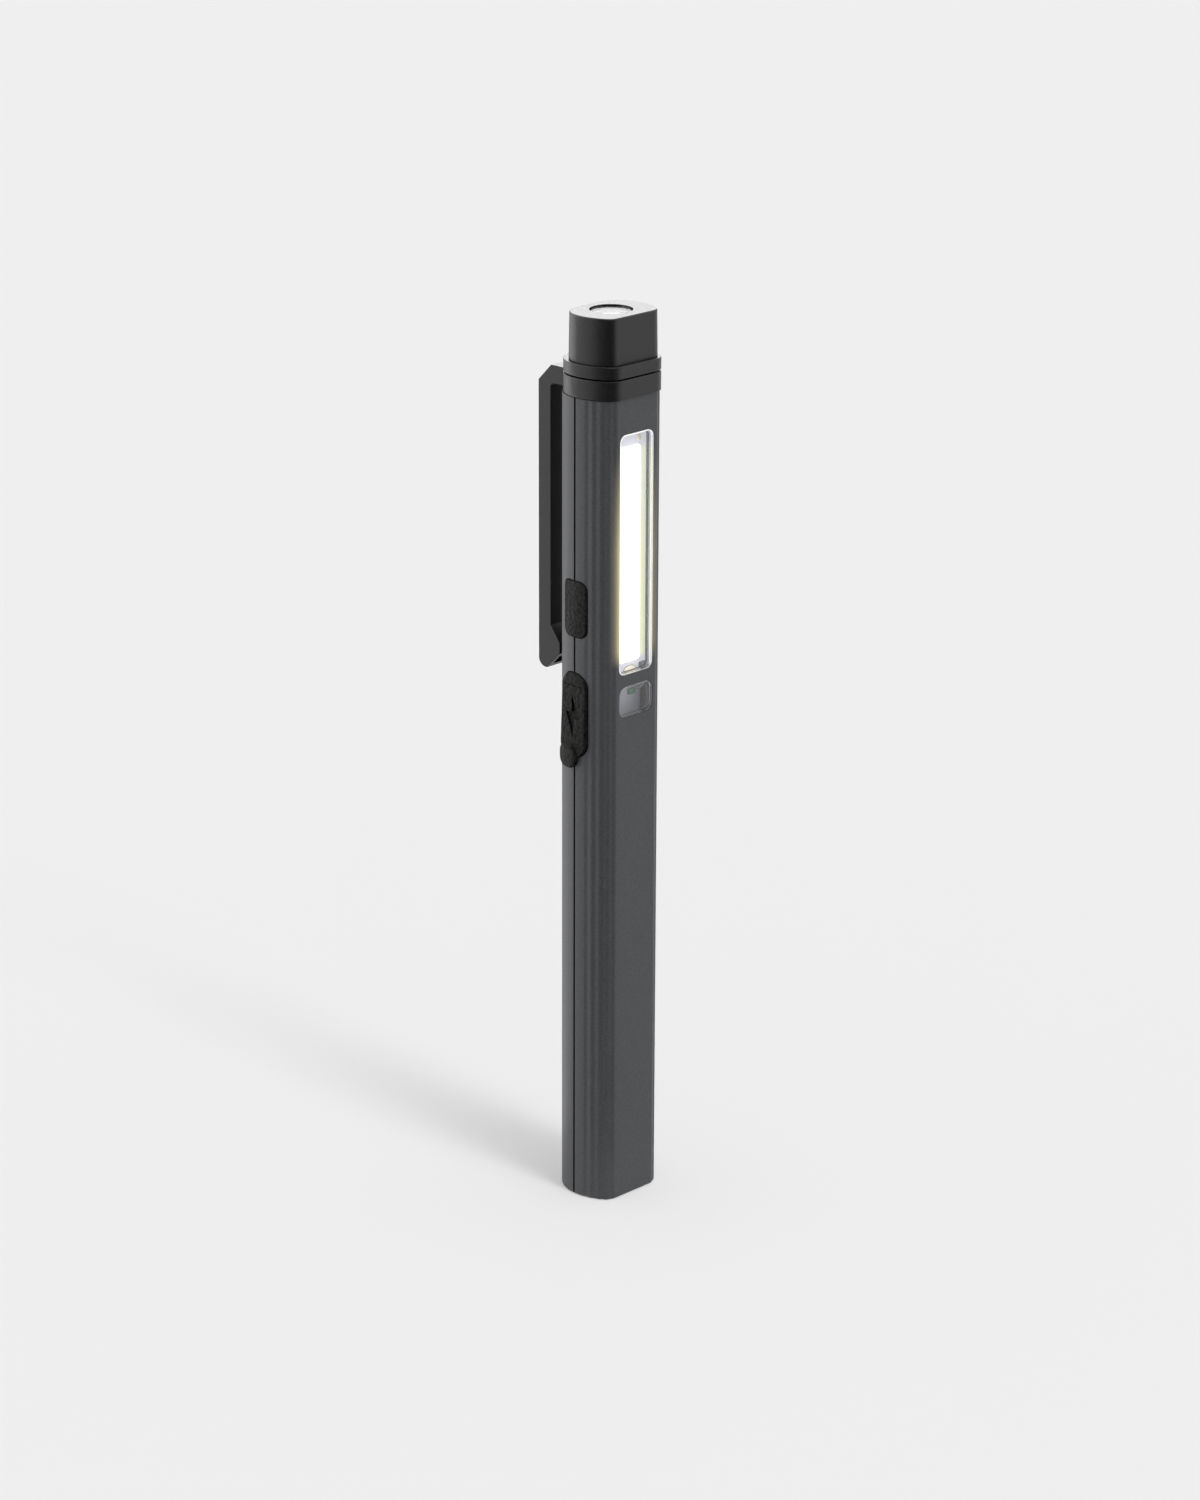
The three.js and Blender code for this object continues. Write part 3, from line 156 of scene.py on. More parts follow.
# Places closer than these count as one
SAME_PLACE = 0.001
MERGE_DISTANCE = 0.0005
FINE_MERGE_DISTANCE = 0.0001

# Fineness of curved outlines and edges
SIDE_STEPS = 14
CORNER_STEPS = 14
FLUTE_STEPS = 12
LEAD_IN_STEPS = 3
ROUND_STEPS = 8
TURN_STEPS = 72
LENS_STEPS = 10
REFLECTOR_STEPS = 16
PIN_SIDES = 24
DOME_SEGMENTS = 32
PAD_STRIPS = 12
EDGE_SEGMENTS = 3
CAP_EDGE_SEGMENTS = 4
NUB_EDGE_SEGMENTS = 5
SMOOTH_ANGLE = math.radians(32)


# Section of the barrel, collar or cap: a rounded D, widest at y = 0, flat at the front
class Section:
    def __init__(self, half_width, front, back, side_radius, corner, back_side_radius, back_corner):
        self.half_width = half_width
        self.front = front
        self.back = back
        self.side_radius = side_radius
        self.corner = corner
        self.back_side_radius = back_side_radius
        self.back_corner = back_corner

    def moved(self, distance):
        sizes = (
            self.half_width, self.front, self.back,
            self.side_radius, self.corner, self.back_side_radius, self.back_corner,
        )
        return Section(*(max(size - distance, SMALLEST_CORNER) for size in sizes))

    def side_x(self, y):
        radius = self.side_radius if y < 0 else self.back_side_radius
        return self.half_width - radius + math.sqrt(max(radius ** 2 - y ** 2, 0))


# Quarter outline from the widest point to the middle of the front or back face
def quarter_outline(half_width, depth, side_radius, corner, flute_depth=0.0):
    turn = math.asin((depth - corner) / (side_radius - corner))
    side_centre = half_width - side_radius
    corner_x = side_centre + (side_radius - corner) * math.cos(turn)
    corner_y = depth - corner
    side_length = side_radius * turn
    corner_length = corner * (math.pi / 2 - turn)
    if flute_depth:
        fluted = FLUTE_COUNT * FLUTE_PITCH
        waves = FLUTE_COUNT * FLUTE_STEPS
        marks = [FLUTE_OFFSET * i / LEAD_IN_STEPS for i in range(LEAD_IN_STEPS)]
        marks += [FLUTE_OFFSET + fluted * i / waves for i in range(waves + 1)]
        marks.append(side_length + corner_length)
    else:
        marks = [side_length * i / SIDE_STEPS for i in range(SIDE_STEPS)]
        marks += [side_length + corner_length * i / CORNER_STEPS for i in range(CORNER_STEPS + 1)]
    points = []
    for along in marks:
        on_side = along < side_length
        angle = along / side_radius if on_side else turn + (along - side_length) / corner
        radius = side_radius if on_side else corner
        if flute_depth and FLUTE_OFFSET < along < FLUTE_OFFSET + FLUTE_COUNT * FLUTE_PITCH:
            radius -= flute_depth * math.sin(math.pi * (along - FLUTE_OFFSET) / FLUTE_PITCH) ** 2
        centre_x = side_centre if on_side else corner_x
        centre_y = 0 if on_side else corner_y
        points.append((centre_x + radius * math.cos(angle), centre_y + radius * math.sin(angle)))
    return points


# Whole outline, anticlockwise from the widest point on the right
def section_outline(section, flute_depth=0.0):
    back = quarter_outline(
        section.half_width, section.back, section.back_side_radius, section.back_corner
    )
    front = quarter_outline(
        section.half_width, section.front, section.side_radius, section.corner, flute_depth
    )
    back_left = [(-x, y) for x, y in reversed(back)][:-1]
    front_left = [(-x, -y) for x, y in front]
    front_right = [(x, -y) for x, y in reversed(front[1:])]
    return back + back_left + front_left + front_right


barrel = Section(BARREL_HALF_WIDTH, BARREL_FRONT, BARREL_BACK, *BARREL_RADII)
collar = Section(collar_high.x, -collar_low.y, collar_high.y, *COLLAR_RADII)
cap = Section(
    collar.half_width - CAP_SIDE_INSET, collar.front - CAP_FRONT_INSET, collar.back - CAP_BACK_INSET,
    *CAP_RADII,
)


# Rounded rectangle outline about a centre
def rounded_rectangle(width, height, radius, centre_x=0.0, centre_y=0.0):
    points = []
    for quarter, (side_x, side_y) in enumerate(((1, 1), (-1, 1), (-1, -1), (1, -1))):
        for i in range(ROUND_STEPS + 1):
            angle = math.pi / 2 * (quarter + i / ROUND_STEPS)
            x = centre_x + side_x * (width / 2 - radius) + radius * math.cos(angle)
            y = centre_y + side_y * (height / 2 - radius) + radius * math.sin(angle)
            points.append((x, y))
    return points


# Directions that a flat outline is pushed along: up, out of the front, or out of the side
UPWARDS = Matrix(((1, 0, 0), (0, 1, 0), (0, 0, 1)))
FRONTWARDS = Matrix(((1, 0, 0), (0, 0, 1), (0, 1, 0)))
SIDEWARDS = Matrix(((0, 0, 1), (1, 0, 0), (0, 1, 0)))


# Prism of an outline, from one depth to another along its direction
def prism(points, start, end, direction=UPWARDS):
    shape = bmesh.new()
    face = shape.faces.new([shape.verts.new((x, y, start)) for x, y in points])
    pushed = bmesh.ops.extrude_face_region(shape, geom=[face])
    lifted = [item for item in pushed["geom"] if isinstance(item, bmesh.types.BMVert)]
    bmesh.ops.translate(shape, vec=(0, 0, end - start), verts=lifted)
    bmesh.ops.transform(shape, matrix=direction.to_4x4(), verts=shape.verts)
    bmesh.ops.recalc_face_normals(shape, faces=shape.faces)
    return shape


# Body through outlines of equal counts, each at its own height
def loft(levels):
    shape = bmesh.new()
    rings = []
    for points, z in levels:
        ring = [shape.verts.new((x, y, z)) for x, y in points]
        edges = [shape.edges.new(pair) for pair in zip(ring, ring[1:] + ring[:1])]
        rings.append((ring, edges))
    for (_, lower), (_, upper) in zip(rings, rings[1:]):
        bmesh.ops.bridge_loops(shape, edges=lower + upper)
    shape.faces.new(rings[0][0])
    shape.faces.new(rings[-1][0])
    bmesh.ops.recalc_face_normals(shape, faces=shape.faces)
    return shape


# Box between two opposite corners
def block(low, high):
    shape = bmesh.new()
    bmesh.ops.create_cube(shape, size=1)
    centre = [(a + b) / 2 for a, b in zip(low, high)]
    bmesh.ops.scale(shape, vec=[b - a for a, b in zip(low, high)], verts=shape.verts)
    bmesh.ops.translate(shape, vec=centre, verts=shape.verts)
    return shape


# Cylinder between two points
def rod(start, end, radius, sides=TURN_STEPS):
    start = Vector(start)
    end = Vector(end)
    along = end - start
    shape = bmesh.new()
    bmesh.ops.create_cone(
        shape, cap_ends=True, segments=sides, radius1=radius, radius2=radius, depth=along.length
    )
    turn = along.to_track_quat("Z", "Y").to_matrix().to_4x4()
    bmesh.ops.transform(shape, matrix=Matrix.Translation((start + end) / 2) @ turn, verts=shape.verts)
    return shape


# Body turned about the head's axis, from points of radius and height
def turned(points, closed=False):
    shape = bmesh.new()
    rim = [shape.verts.new((radius, 0, z)) for radius, z in points]
    pairs = list(zip(rim, rim[1:]))
    if closed:
        pairs.append((rim[-1], rim[0]))
    edges = [shape.edges.new(pair) for pair in pairs]
    bmesh.ops.spin(
        shape, geom=rim + edges, cent=(0, 0, 0), axis=(0, 0, 1),
        angle=2 * math.pi, steps=TURN_STEPS, use_merge=True,
    )
    bmesh.ops.remove_doubles(shape, verts=shape.verts, dist=FINE_MERGE_DISTANCE)
    bmesh.ops.recalc_face_normals(shape, faces=shape.faces)
    return shape


# Rounds off the given edges
def soften(shape, edges, width, segments=EDGE_SEGMENTS):
    bmesh.ops.bevel(
        shape, geom=edges, offset=width, offset_type="OFFSET", segments=segments,
        profile=0.5, affect="EDGES", material=-1, clamp_overlap=True,
    )


# Edges with both ends where a test of the place holds
def edges_where(shape, test):
    return [edge for edge in shape.edges if all(test(vert.co) for vert in edge.verts)]


def at(value, wanted):
    return abs(value - wanted) < SAME_PLACE


# Rounds off the edges that lie at the given heights
def soften_rims(shape, heights, width, segments=EDGE_SEGMENTS):
    rims = [edge for height in heights for edge in edges_where(shape, lambda co: at(co.z, height))]
    soften(shape, rims, width, segments)


# Turns a finished shape into an object, still in millimetres
def as_object(name, shape):
    mesh = bpy.data.meshes.new(name)
    shape.to_mesh(mesh)
    shape.free()
    piece = bpy.data.objects.new(name, mesh)
    bpy.context.scene.collection.objects.link(piece)
    return piece


# Joins or cuts an object with shapes, one after the other
def combined(piece, operation, *shapes):
    tools = []
    for number, shape in enumerate(shapes):
        tool = as_object(piece.name + "_tool", shape)
        modifier = piece.modifiers.new("tool" + str(number), "BOOLEAN")
        modifier.solver = "EXACT"
        modifier.operation = operation
        modifier.object = tool
        tools.append(tool)
    graph = bpy.context.evaluated_depsgraph_get()
    graph.update()
    mesh = bpy.data.meshes.new_from_object(piece.evaluated_get(graph))
    piece.modifiers.clear()
    piece.data = mesh
    for tool in tools:
        bpy.data.objects.remove(tool)
    return piece


def cut(piece, *shapes):
    return combined(piece, "DIFFERENCE", *shapes)


def join(piece, *shapes):
    return combined(piece, "UNION", *shapes)


def keep_inside(piece, *shapes):
    return combined(piece, "INTERSECT", *shapes)


# Takes an object's shape out again, so that another piece can be joined or cut with it
def shape_of(piece):
    shape = bmesh.new()
    shape.from_mesh(piece.data)
    bpy.data.objects.remove(piece)
    return shape


# Scales a piece to metres, smooths its curved faces, dresses it and hangs it on its body
def finish_piece(piece, material, slot, body, *nodes):
    shape = bmesh.new()
    shape.from_mesh(piece.data)
    bmesh.ops.remove_doubles(shape, verts=shape.verts, dist=MERGE_DISTANCE)
    bmesh.ops.scale(shape, vec=(MM, MM, MM), verts=shape.verts)
    for face in shape.faces:
        face.smooth = True
    for edge in shape.edges:
        edge.smooth = len(edge.link_faces) == 2 and edge.calc_face_angle() < SMOOTH_ANGLE
    shape.to_mesh(piece.data)
    shape.free()
    piece.data.materials.clear()
    piece.data.materials.append(material)
    weighted = piece.modifiers.new("normals", "WEIGHTED_NORMAL")
    weighted.keep_sharp = True
    if nodes:
        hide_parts(*nodes)
    if body:
        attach(piece, body)
    return piece


# Shader maths: a socket that takes part in sums
class Value:
    def __init__(self, finish, socket):
        self.finish = finish
        self.socket = socket

    def _with(self, operation, other, swapped=False):
        first, second = (other, self) if swapped else (self, other)
        return self.finish.maths(operation, first, second)

    def __add__(self, other):
        return self._with("ADD", other)

    def __radd__(self, other):
        return self._with("ADD", other, True)

    def __sub__(self, other):
        return self._with("SUBTRACT", other)

    def __rsub__(self, other):
        return self._with("SUBTRACT", other, True)

    def __mul__(self, other):
        return self._with("MULTIPLY", other)

    def __rmul__(self, other):
        return self._with("MULTIPLY", other, True)

    def __pow__(self, other):
        return self._with("POWER", other)


# A material or the world: every node comes from one method
class Finish:
    def __init__(self, owner):
        owner.use_nodes = True
        self.tree = owner.node_tree
        self.tree.nodes.clear()

    def node(self, kind, settings=None, values=None, output=0):
        made = self.tree.nodes.new(kind)
        for name, setting in (settings or {}).items():
            setattr(made, name, setting)
        for name, value in (values or {}).items():
            if isinstance(value, Value):
                self.tree.links.new(value.socket, made.inputs[name])
            else:
                made.inputs[name].default_value = value
        if not made.outputs:
            return made
        return Value(self, made.outputs[output])

    def maths(self, operation, *values):
        return self.node("ShaderNodeMath", {"operation": operation}, dict(enumerate(values)))

    def place(self):
        return self.node("ShaderNodeTexCoord", output="Object")

    def grain(self, scale, detail=2.0):
        spot = self.place()
        return self.node("ShaderNodeTexNoise", {}, {"Vector": spot, "Scale": scale, "Detail": detail})

    # Grain with its contrast raised
    def speckle(self, scale, detail):
        return self.between(self.grain(scale, detail), 0.0, 1.0, SPECKLE_LOW, SPECKLE_HIGH)

    def between(self, share, low, high, low_end=0.0, high_end=1.0):
        return self.node(
            "ShaderNodeMapRange", {},
            {"Value": share, "From Min": low_end, "From Max": high_end, "To Min": low, "To Max": high},
        )

    # Shares that fall from one to nothing, or climb the other way, over places in millimetres
    def falling(self, value, start, end):
        return self.between(value, 1.0, 0.0, start * MM, end * MM)

    def climbing(self, value, start, end):
        return self.between(value, 0.0, 1.0, start * MM, end * MM)

    # Mix of two colours, either of which may be a mix itself
    def colours(self, share, low, high):
        low, high = (end if isinstance(end, Value) else (*end, 1.0) for end in (low, high))
        return self.node("ShaderNodeMix", {"data_type": "RGBA"}, {0: share, 6: low, 7: high}, output=2)

    def along(self, axis):
        return self.node("ShaderNodeSeparateXYZ", {}, {0: self.place()}, output=axis)

    def size_of(self, value):
        return self.maths("ABSOLUTE", value)

    # Distance from a plane across an axis
    def away_from(self, axis, place=0.0):
        return self.size_of(self.along(axis) - place * MM)

    def larger(self, value, other):
        return self.maths("MAXIMUM", value, other)

    def bump(self, height, distance, strength=1.0):
        return self.node(
            "ShaderNodeBump", {}, {"Height": height, "Distance": distance, "Strength": strength}
        )

    def surface(self, **sockets):
        values = {name.replace("_", " "): value for name, value in sockets.items()}
        shader = self.node("ShaderNodeBsdfPrincipled", {}, values)
        self.node("ShaderNodeOutputMaterial", {}, {"Surface": shader})


# Part of the noise that a speckled finish spreads from its darkest to its palest
SPECKLE_LOW = 0.32
SPECKLE_HIGH = 0.68


def new_finish(name):
    material = bpy.data.materials.new(name)
    return material, Finish(material)


# Plain finish with a little unevenness in its colour and gloss, and a fine grain
def grained(name, low, high, roughness, spread=0.05, scale=900.0, depth=0.0, metallic=0.0):
    material, finish = new_finish(name)
    share = finish.grain(scale)
    sockets = {
        "Base_Color": finish.colours(share, low, high),
        "Roughness": finish.between(share, roughness - spread, roughness + spread),
        "Metallic": metallic,
    }
    if depth:
        sockets["Normal"] = finish.bump(share, depth * MM)
    finish.surface(**sockets)
    return material


# Dark grey moulded plastic of the barrel, with a fine sprayed grain. Beside the lit window a painted
# glow stands in for the strip's light, and painted shade darkens the joint of its halves.
FINE_GRAIN_SHARE = 0.7
BROAD_GRAIN_SHARE = 0.3
SEAM_SHADE_FADE = 0.04
SEAM_SHADE_COLOUR = (0.008, 0.008, 0.008)
PAINTED_SPILL_WIDTH = 3.0
PAINTED_SPILL_FADE = 18.0
PAINTED_SPILL_GLOW = 0.62
PAINTED_SPILL_FAR_SHARE = 0.3
PAINTED_SPILL_COLOUR = (1.0, 0.88, 0.44)
NO_LIGHT = (0.0, 0.0, 0.0)


def barrel_finish():
    material, finish = new_finish("barrel_grey")
    fine = finish.speckle(2900.0, 5.0)
    broad = finish.grain(60.0)
    share = fine * FINE_GRAIN_SHARE + broad * BROAD_GRAIN_SHARE
    # Painted glow: the strip's light painted as emission on the barrel beside the long window
    window_side = window_high.x - WINDOW_FLANGE
    away = finish.falling(finish.away_from("X"), window_side, window_side + PAINTED_SPILL_WIDTH)
    below_top = finish.falling(finish.along("Z"), strip_high.z - PAINTED_SPILL_FADE, strip_high.z)
    above_foot = finish.climbing(finish.along("Z"), strip_low.z, strip_low.z + PAINTED_SPILL_WIDTH)
    in_front = finish.falling(finish.along("Y"), -BARREL_FRONT, WALL - BARREL_FRONT)
    one_side = finish.between(finish.along("X"), 1.0, PAINTED_SPILL_FAR_SHARE, -MM, MM)
    painted_spill = away * away * away * below_top * above_foot * in_front * one_side
    # Painted shade in the joint between the halves: the colour turns near black close to the parting plane
    from_parting = finish.away_from("Y", PARTING_Y)
    painted_seam_shade = finish.falling(from_parting, PARTING_HALF_GAP, PARTING_HALF_GAP + SEAM_SHADE_FADE)
    plastic = finish.colours(share, (0.045, 0.0465, 0.051), (0.073, 0.0755, 0.082))
    finish.surface(
        Base_Color=finish.colours(painted_seam_shade, plastic, SEAM_SHADE_COLOUR),
        Roughness=finish.between(share, 0.46, 0.58),
        Specular_IOR_Level=0.45,
        Normal=finish.bump(fine, BARREL_GRAIN * MM, 0.6),
        Emission_Color=finish.colours(painted_spill, NO_LIGHT, PAINTED_SPILL_COLOUR),
        Emission_Strength=PAINTED_SPILL_GLOW,
    )
    return material


# Black satin plastic of the cap, collar and clip
def satin_finish():
    material, finish = new_finish("satin_black")
    fine = finish.speckle(3800.0, 3.0)
    finish.surface(
        Base_Color=finish.colours(fine, (0.0075, 0.0065, 0.0065), (0.0165, 0.0145, 0.0148)),
        Roughness=finish.between(fine, 0.33, 0.42),
        Specular_IOR_Level=0.5,
        Normal=finish.bump(fine, SATIN_GRAIN * MM, 0.4),
    )
    return material


# Black rubber with a fine leathery grain
def rubber_finish():
    material, finish = new_finish("grained_rubber")
    fine = finish.speckle(1700.0, 6.0)
    broad = finish.grain(500.0)
    finish.surface(
        Base_Color=finish.colours(fine, (0.001, 0.001, 0.0008), (0.0180, 0.0172, 0.0155)),
        Roughness=finish.between(broad, 0.5, 0.72),
        Specular_IOR_Level=0.15,
        Normal=finish.bump(fine, RUBBER_GRAIN * MM),
    )
    return material


# Clear moulded plastic of a window, with a painted glow at its outer edge that stands in for the light that
# it pipes.
SIDE_PAINTED_GLOW_SHARE = 0.45
WINDOW_PAINTED_GLOW = 0.65
SMALL_WINDOW_PAINTED_GLOW = 0.12


def window_finish(name, low, high, corner, painted_edge_glow, painted_edge_colour):
    material, finish = new_finish(name)
    fine = finish.grain(300.0)
    half_width = high.x - WINDOW_FLANGE - corner
    half_height = (high.z - low.z) / 2 - WINDOW_FLANGE - corner
    middle = (low.z + high.z) / 2
    past_side = finish.larger(finish.away_from("X") - half_width * MM, 0.0)
    past_end = finish.larger(finish.away_from("Z", middle) - half_height * MM, 0.0)
    from_corner = (past_side * past_side + past_end * past_end) ** 0.5
    from_edge = finish.size_of(from_corner - corner * MM)
    # Painted glow along the window's rim and edge wall
    wall = finish.falling(from_edge, EDGE_PAINTED_GLOW_WIDTH / 2, EDGE_PAINTED_GLOW_WIDTH) * SIDE_PAINTED_GLOW_SHARE
    side = finish.climbing(past_side, 0.0, corner)
    rim = finish.falling(from_edge, EDGE_PAINTED_GLOW_WIDTH, WINDOW_EDGE)
    front = finish.falling(finish.along("Y"), low.y + WINDOW_EDGE, low.y + 2 * WINDOW_EDGE)
    edge = finish.larger(wall * side, rim * front)
    finish.surface(
        Base_Color=finish.colours(fine, (0.93, 0.94, 0.96), (0.98, 0.985, 1.0)),
        Roughness=finish.between(fine, 0.03, 0.07),
        IOR=1.49,
        Transmission_Weight=1.0,
        Emission_Color=finish.colours(edge, NO_LIGHT, painted_edge_colour),
        Emission_Strength=painted_edge_glow,
    )
    return material


# Clear lens of the head
def lens_finish():
    material, finish = new_finish("head_lens_clear")
    fine = finish.grain(400.0)
    finish.surface(
        Base_Color=finish.colours(fine, (0.74, 0.75, 0.76), (0.80, 0.81, 0.82)),
        Roughness=finish.between(fine, 0.02, 0.05),
        IOR=1.49,
        Transmission_Weight=1.0,
    )
    return material


# Lit phosphor strip: white in the middle, yellow-green towards its edges
STRIP_GLOW = 2.2
STRIP_WHITE_SHARE = 0.72
STRIP_EDGE_SHARE = 0.99


def phosphor_finish(name, half_width, glow):
    material, finish = new_finish(name)
    from_middle = finish.away_from("X")
    edge = finish.climbing(from_middle, half_width * STRIP_WHITE_SHARE, half_width * STRIP_EDGE_SHARE)
    fine = finish.grain(1500.0)
    finish.surface(
        Base_Color=finish.colours(fine, (0.80, 0.78, 0.42), (0.86, 0.84, 0.50)),
        Roughness=finish.between(fine, 0.45, 0.6),
        Emission_Color=finish.colours(edge, (1.0, 0.99, 0.93), (0.42, 0.43, 0.24)),
        Emission_Strength=glow,
    )
    return material


barrel_grey = barrel_finish()
satin_black = satin_finish()
grained_rubber = rubber_finish()
clear_window = window_finish(
    "clear_window", window_low, window_high, WINDOW_CORNER, WINDOW_PAINTED_GLOW, (1.0, 1.0, 1.0)
)
small_clear_window = window_finish(
    "small_clear_window", small_low, small_high, SMALL_WINDOW_CORNER, SMALL_WINDOW_PAINTED_GLOW, (0.9, 0.92, 1.0)
)
lens_clear = lens_finish()
lit_strip = phosphor_finish("lit_strip", strip_high.x, STRIP_GLOW)

# Planes where the barrel's halves end
front_edge_y = PARTING_Y - PARTING_HALF_GAP
back_edge_y = PARTING_Y + PARTING_HALF_GAP


# Hollows of the barrel and of its neck
def barrel_hollows():
    floor_z = SHOULDER_Z - SHOULDER_THICKNESS
    bore = barrel.moved(NECK_INSET + NECK_WALL)
    return [
        prism(section_outline(barrel.moved(WALL)), FOOT_WALL, floor_z),
        prism(section_outline(bore), floor_z - OVERRUN, COLLAR_TOP_Z + OVERRUN),
    ]


# Whole hollow barrel with its neck, before it is parted into halves
def barrel_body():
    shape = prism(section_outline(barrel, FLUTE_DEPTH), 0, SHOULDER_Z - SEAM)
    soften_rims(shape, (0,), FOOT_EDGE)
    body = as_object("barrel_body", shape)
    neck = barrel.moved(NECK_INSET)
    join(body, prism(section_outline(neck), SHOULDER_Z - SHOULDER_THICKNESS, COLLAR_TOP_Z))
    cut(body, *barrel_hollows())
    return body


# Rib along the back half's edge that closes the bottom of the groove between the halves
def parting_rib():
    outline = section_outline(barrel.moved(GROOVE_DEPTH))
    rib = as_object("parting_rib", prism(outline, FOOT_EDGE, SHOULDER_Z - 2 * SEAM))
    cut(rib, *barrel_hollows())
    keep_inside(rib, block((-REACH, front_edge_y + RIB_GAP, 0), (REACH, back_edge_y + RIB_OVERLAP, TOP_Z)))
    return shape_of(rib)


# Sizes of the button and the port cover, and of the openings that they sit in
BUTTON_WIDTH = 5.7
BUTTON_HEIGHT = 10.2
BUTTON_CORNER = 1.5
BUTTON_PLATE_DEPTH = 2.5
BUTTON_Z = (button_low.z + button_high.z) / 2
COVER_WIDTH = 5.9
COVER_HEIGHT = 15.5
COVER_CORNER = 2.5
COVER_TOP_INSET = 0.1
COVER_TOP_Z = tether_high.z - COVER_TOP_INSET
COVER_Z = COVER_TOP_Z - COVER_HEIGHT / 2
COVER_PROUD_TOP = 0.15
COVER_PROUD_FOOT = 0.8
COVER_FLAT_SHARE = 0.7
RECESS_DEPTH = 1.3
PAD_THICKNESS = 1.3
PAD_MARGIN = 1.2
NUB_WIDTH = 4.6
NUB_HEIGHT = 4.5
NUB_CORNER = 1.85
NUB_OFFSET = 1.05
NUB_PROUD = 1.15
NUB_EDGE = 0.45
SIDE_GAP = 0.16
SOCKET_FLAT = 0.01
SOCKET_Y = (socket_low.y + socket_high.y) / 2


# Outlines on the button's side, in y and z
def button_outline(grow):
    return rounded_rectangle(
        BUTTON_WIDTH + 2 * grow, BUTTON_HEIGHT + 2 * grow, BUTTON_CORNER + grow, SIDE_AXIS_Y, BUTTON_Z
    )


def cover_outline(grow):
    return rounded_rectangle(
        COVER_WIDTH + 2 * grow, COVER_HEIGHT + 2 * grow, COVER_CORNER + grow, SIDE_AXIS_Y, COVER_Z
    )


def socket_outline(grow):
    thickness = socket_high.y - socket_low.y + 2 * grow
    width = socket_high.z - socket_low.z + 2 * grow
    return rounded_rectangle(thickness, width, thickness / 2 - SOCKET_FLAT, SOCKET_Y, COVER_Z)


# Recess of the port cover, way to the socket, and opening of the button
def side_openings():
    floor_x = -(BARREL_HALF_WIDTH - RECESS_DEPTH)
    outside = -(BARREL_HALF_WIDTH + OVERRUN)
    pad_inside = floor_x + PAD_THICKNESS
    return [
        prism(cover_outline(SIDE_GAP), outside, floor_x, SIDEWARDS),
        prism(socket_outline(GAP), outside, pad_inside + OVERRUN, SIDEWARDS),
        prism(button_outline(SIDE_GAP), outside, -(BARREL_HALF_WIDTH - BUTTON_PLATE_DEPTH), SIDEWARDS),
    ]


# Thicker wall behind the cover, kept inside the barrel's curved side
def recess_pad():
    half_width = COVER_WIDTH / 2 + PAD_MARGIN
    low_z = COVER_Z - COVER_HEIGHT / 2 - PAD_MARGIN
    high_z = COVER_TOP_Z + PAD_MARGIN
    inside = -(BARREL_HALF_WIDTH - RECESS_DEPTH - PAD_THICKNESS)
    pad = as_object("recess_pad", block(
        (-BARREL_HALF_WIDTH, SIDE_AXIS_Y - half_width, low_z), (inside, SIDE_AXIS_Y + half_width, high_z),
    ))
    keep_inside(pad, prism(section_outline(barrel.moved(WALL / 2)), 0, SHOULDER_Z))
    return shape_of(pad)


# Outline of a window or its opening, in x and z
def window_outline(low, high, corner, grow):
    half_width = high.x - WINDOW_FLANGE
    height = high.z - low.z - 2 * WINDOW_FLANGE
    centre = (low.z + high.z) / 2
    return rounded_rectangle(2 * (half_width + grow), height + 2 * grow, corner + grow, 0, centre)


def front_opening(low, high, corner):
    outline = window_outline(low, high, corner, FIT / 2)
    return prism(outline, -(BARREL_FRONT + OVERRUN), -(BARREL_FRONT - WALL - OVERRUN), FRONTWARDS)


# Barrel between two planes, with the thicker wall behind the cover
def half_barrel(name, low_y, high_y):
    half = barrel_body()
    half.name = name
    join(half, recess_pad())
    return keep_inside(half, block((-REACH, low_y, -OVERRUN), (REACH, high_y, TOP_Z)))


def front_shell():
    shell = half_barrel("front_half", -REACH, front_edge_y)
    long_opening = front_opening(window_low, window_high, WINDOW_CORNER)
    small_opening = front_opening(small_low, small_high, SMALL_WINDOW_CORNER)
    cut(shell, *side_openings(), long_opening, small_opening)
    return finish_piece(shell, barrel_grey, "barrel_plastic", "barrel", "front_shell")


# Lip inside the joint, open where the button and the port cover are
def joint_lip():
    outer = barrel.moved(WALL + FIT)
    top_z = SHOULDER_Z - SHOULDER_THICKNESS - FIT
    lip = as_object("lip", prism(section_outline(outer), FOOT_WALL + FIT, top_z))
    cut(lip, prism(section_outline(outer.moved(LIP_THICKNESS)), 0, SHOULDER_Z))
    keep_inside(lip, block(
        (-REACH, front_edge_y - LIP_DEPTH, 0), (REACH, back_edge_y + LIP_DEPTH, SHOULDER_Z)
    ))
    cut(lip, block(
        (-REACH, -REACH, COVER_Z - COVER_HEIGHT / 2 - PAD_MARGIN - GAP),
        (0, REACH, BUTTON_Z + BUTTON_HEIGHT / 2 + OVERRUN),
    ))
    return shape_of(lip)


def back_shell():
    shell = half_barrel("back_half", back_edge_y, REACH)
    join(shell, parting_rib())
    join(shell, joint_lip())
    cut(shell, *side_openings(), *screw_holes())
    return finish_piece(shell, barrel_grey, "barrel_plastic", "barrel", "back_shell")


# Sunk holes for the two case screws in the back
SCREW_SINK_RADIUS = 1.9
SCREW_RADIUS = 1.1
SCREW_HEAD_HEIGHT = 1.1


def screw_holes():
    holes = []
    for node in ("case_screw_lower", "case_screw_upper"):
        low, high = box_mm(node)
        middle = (low.z + high.z) / 2
        seat = high.y - SCREW_HEAD_HEIGHT
        holes.append(rod((0, seat, middle), (0, BARREL_BACK + OVERRUN, middle), SCREW_SINK_RADIUS))
        holes.append(rod((0, 0, middle), (0, seat + OVERRUN, middle), SCREW_RADIUS))
    return holes


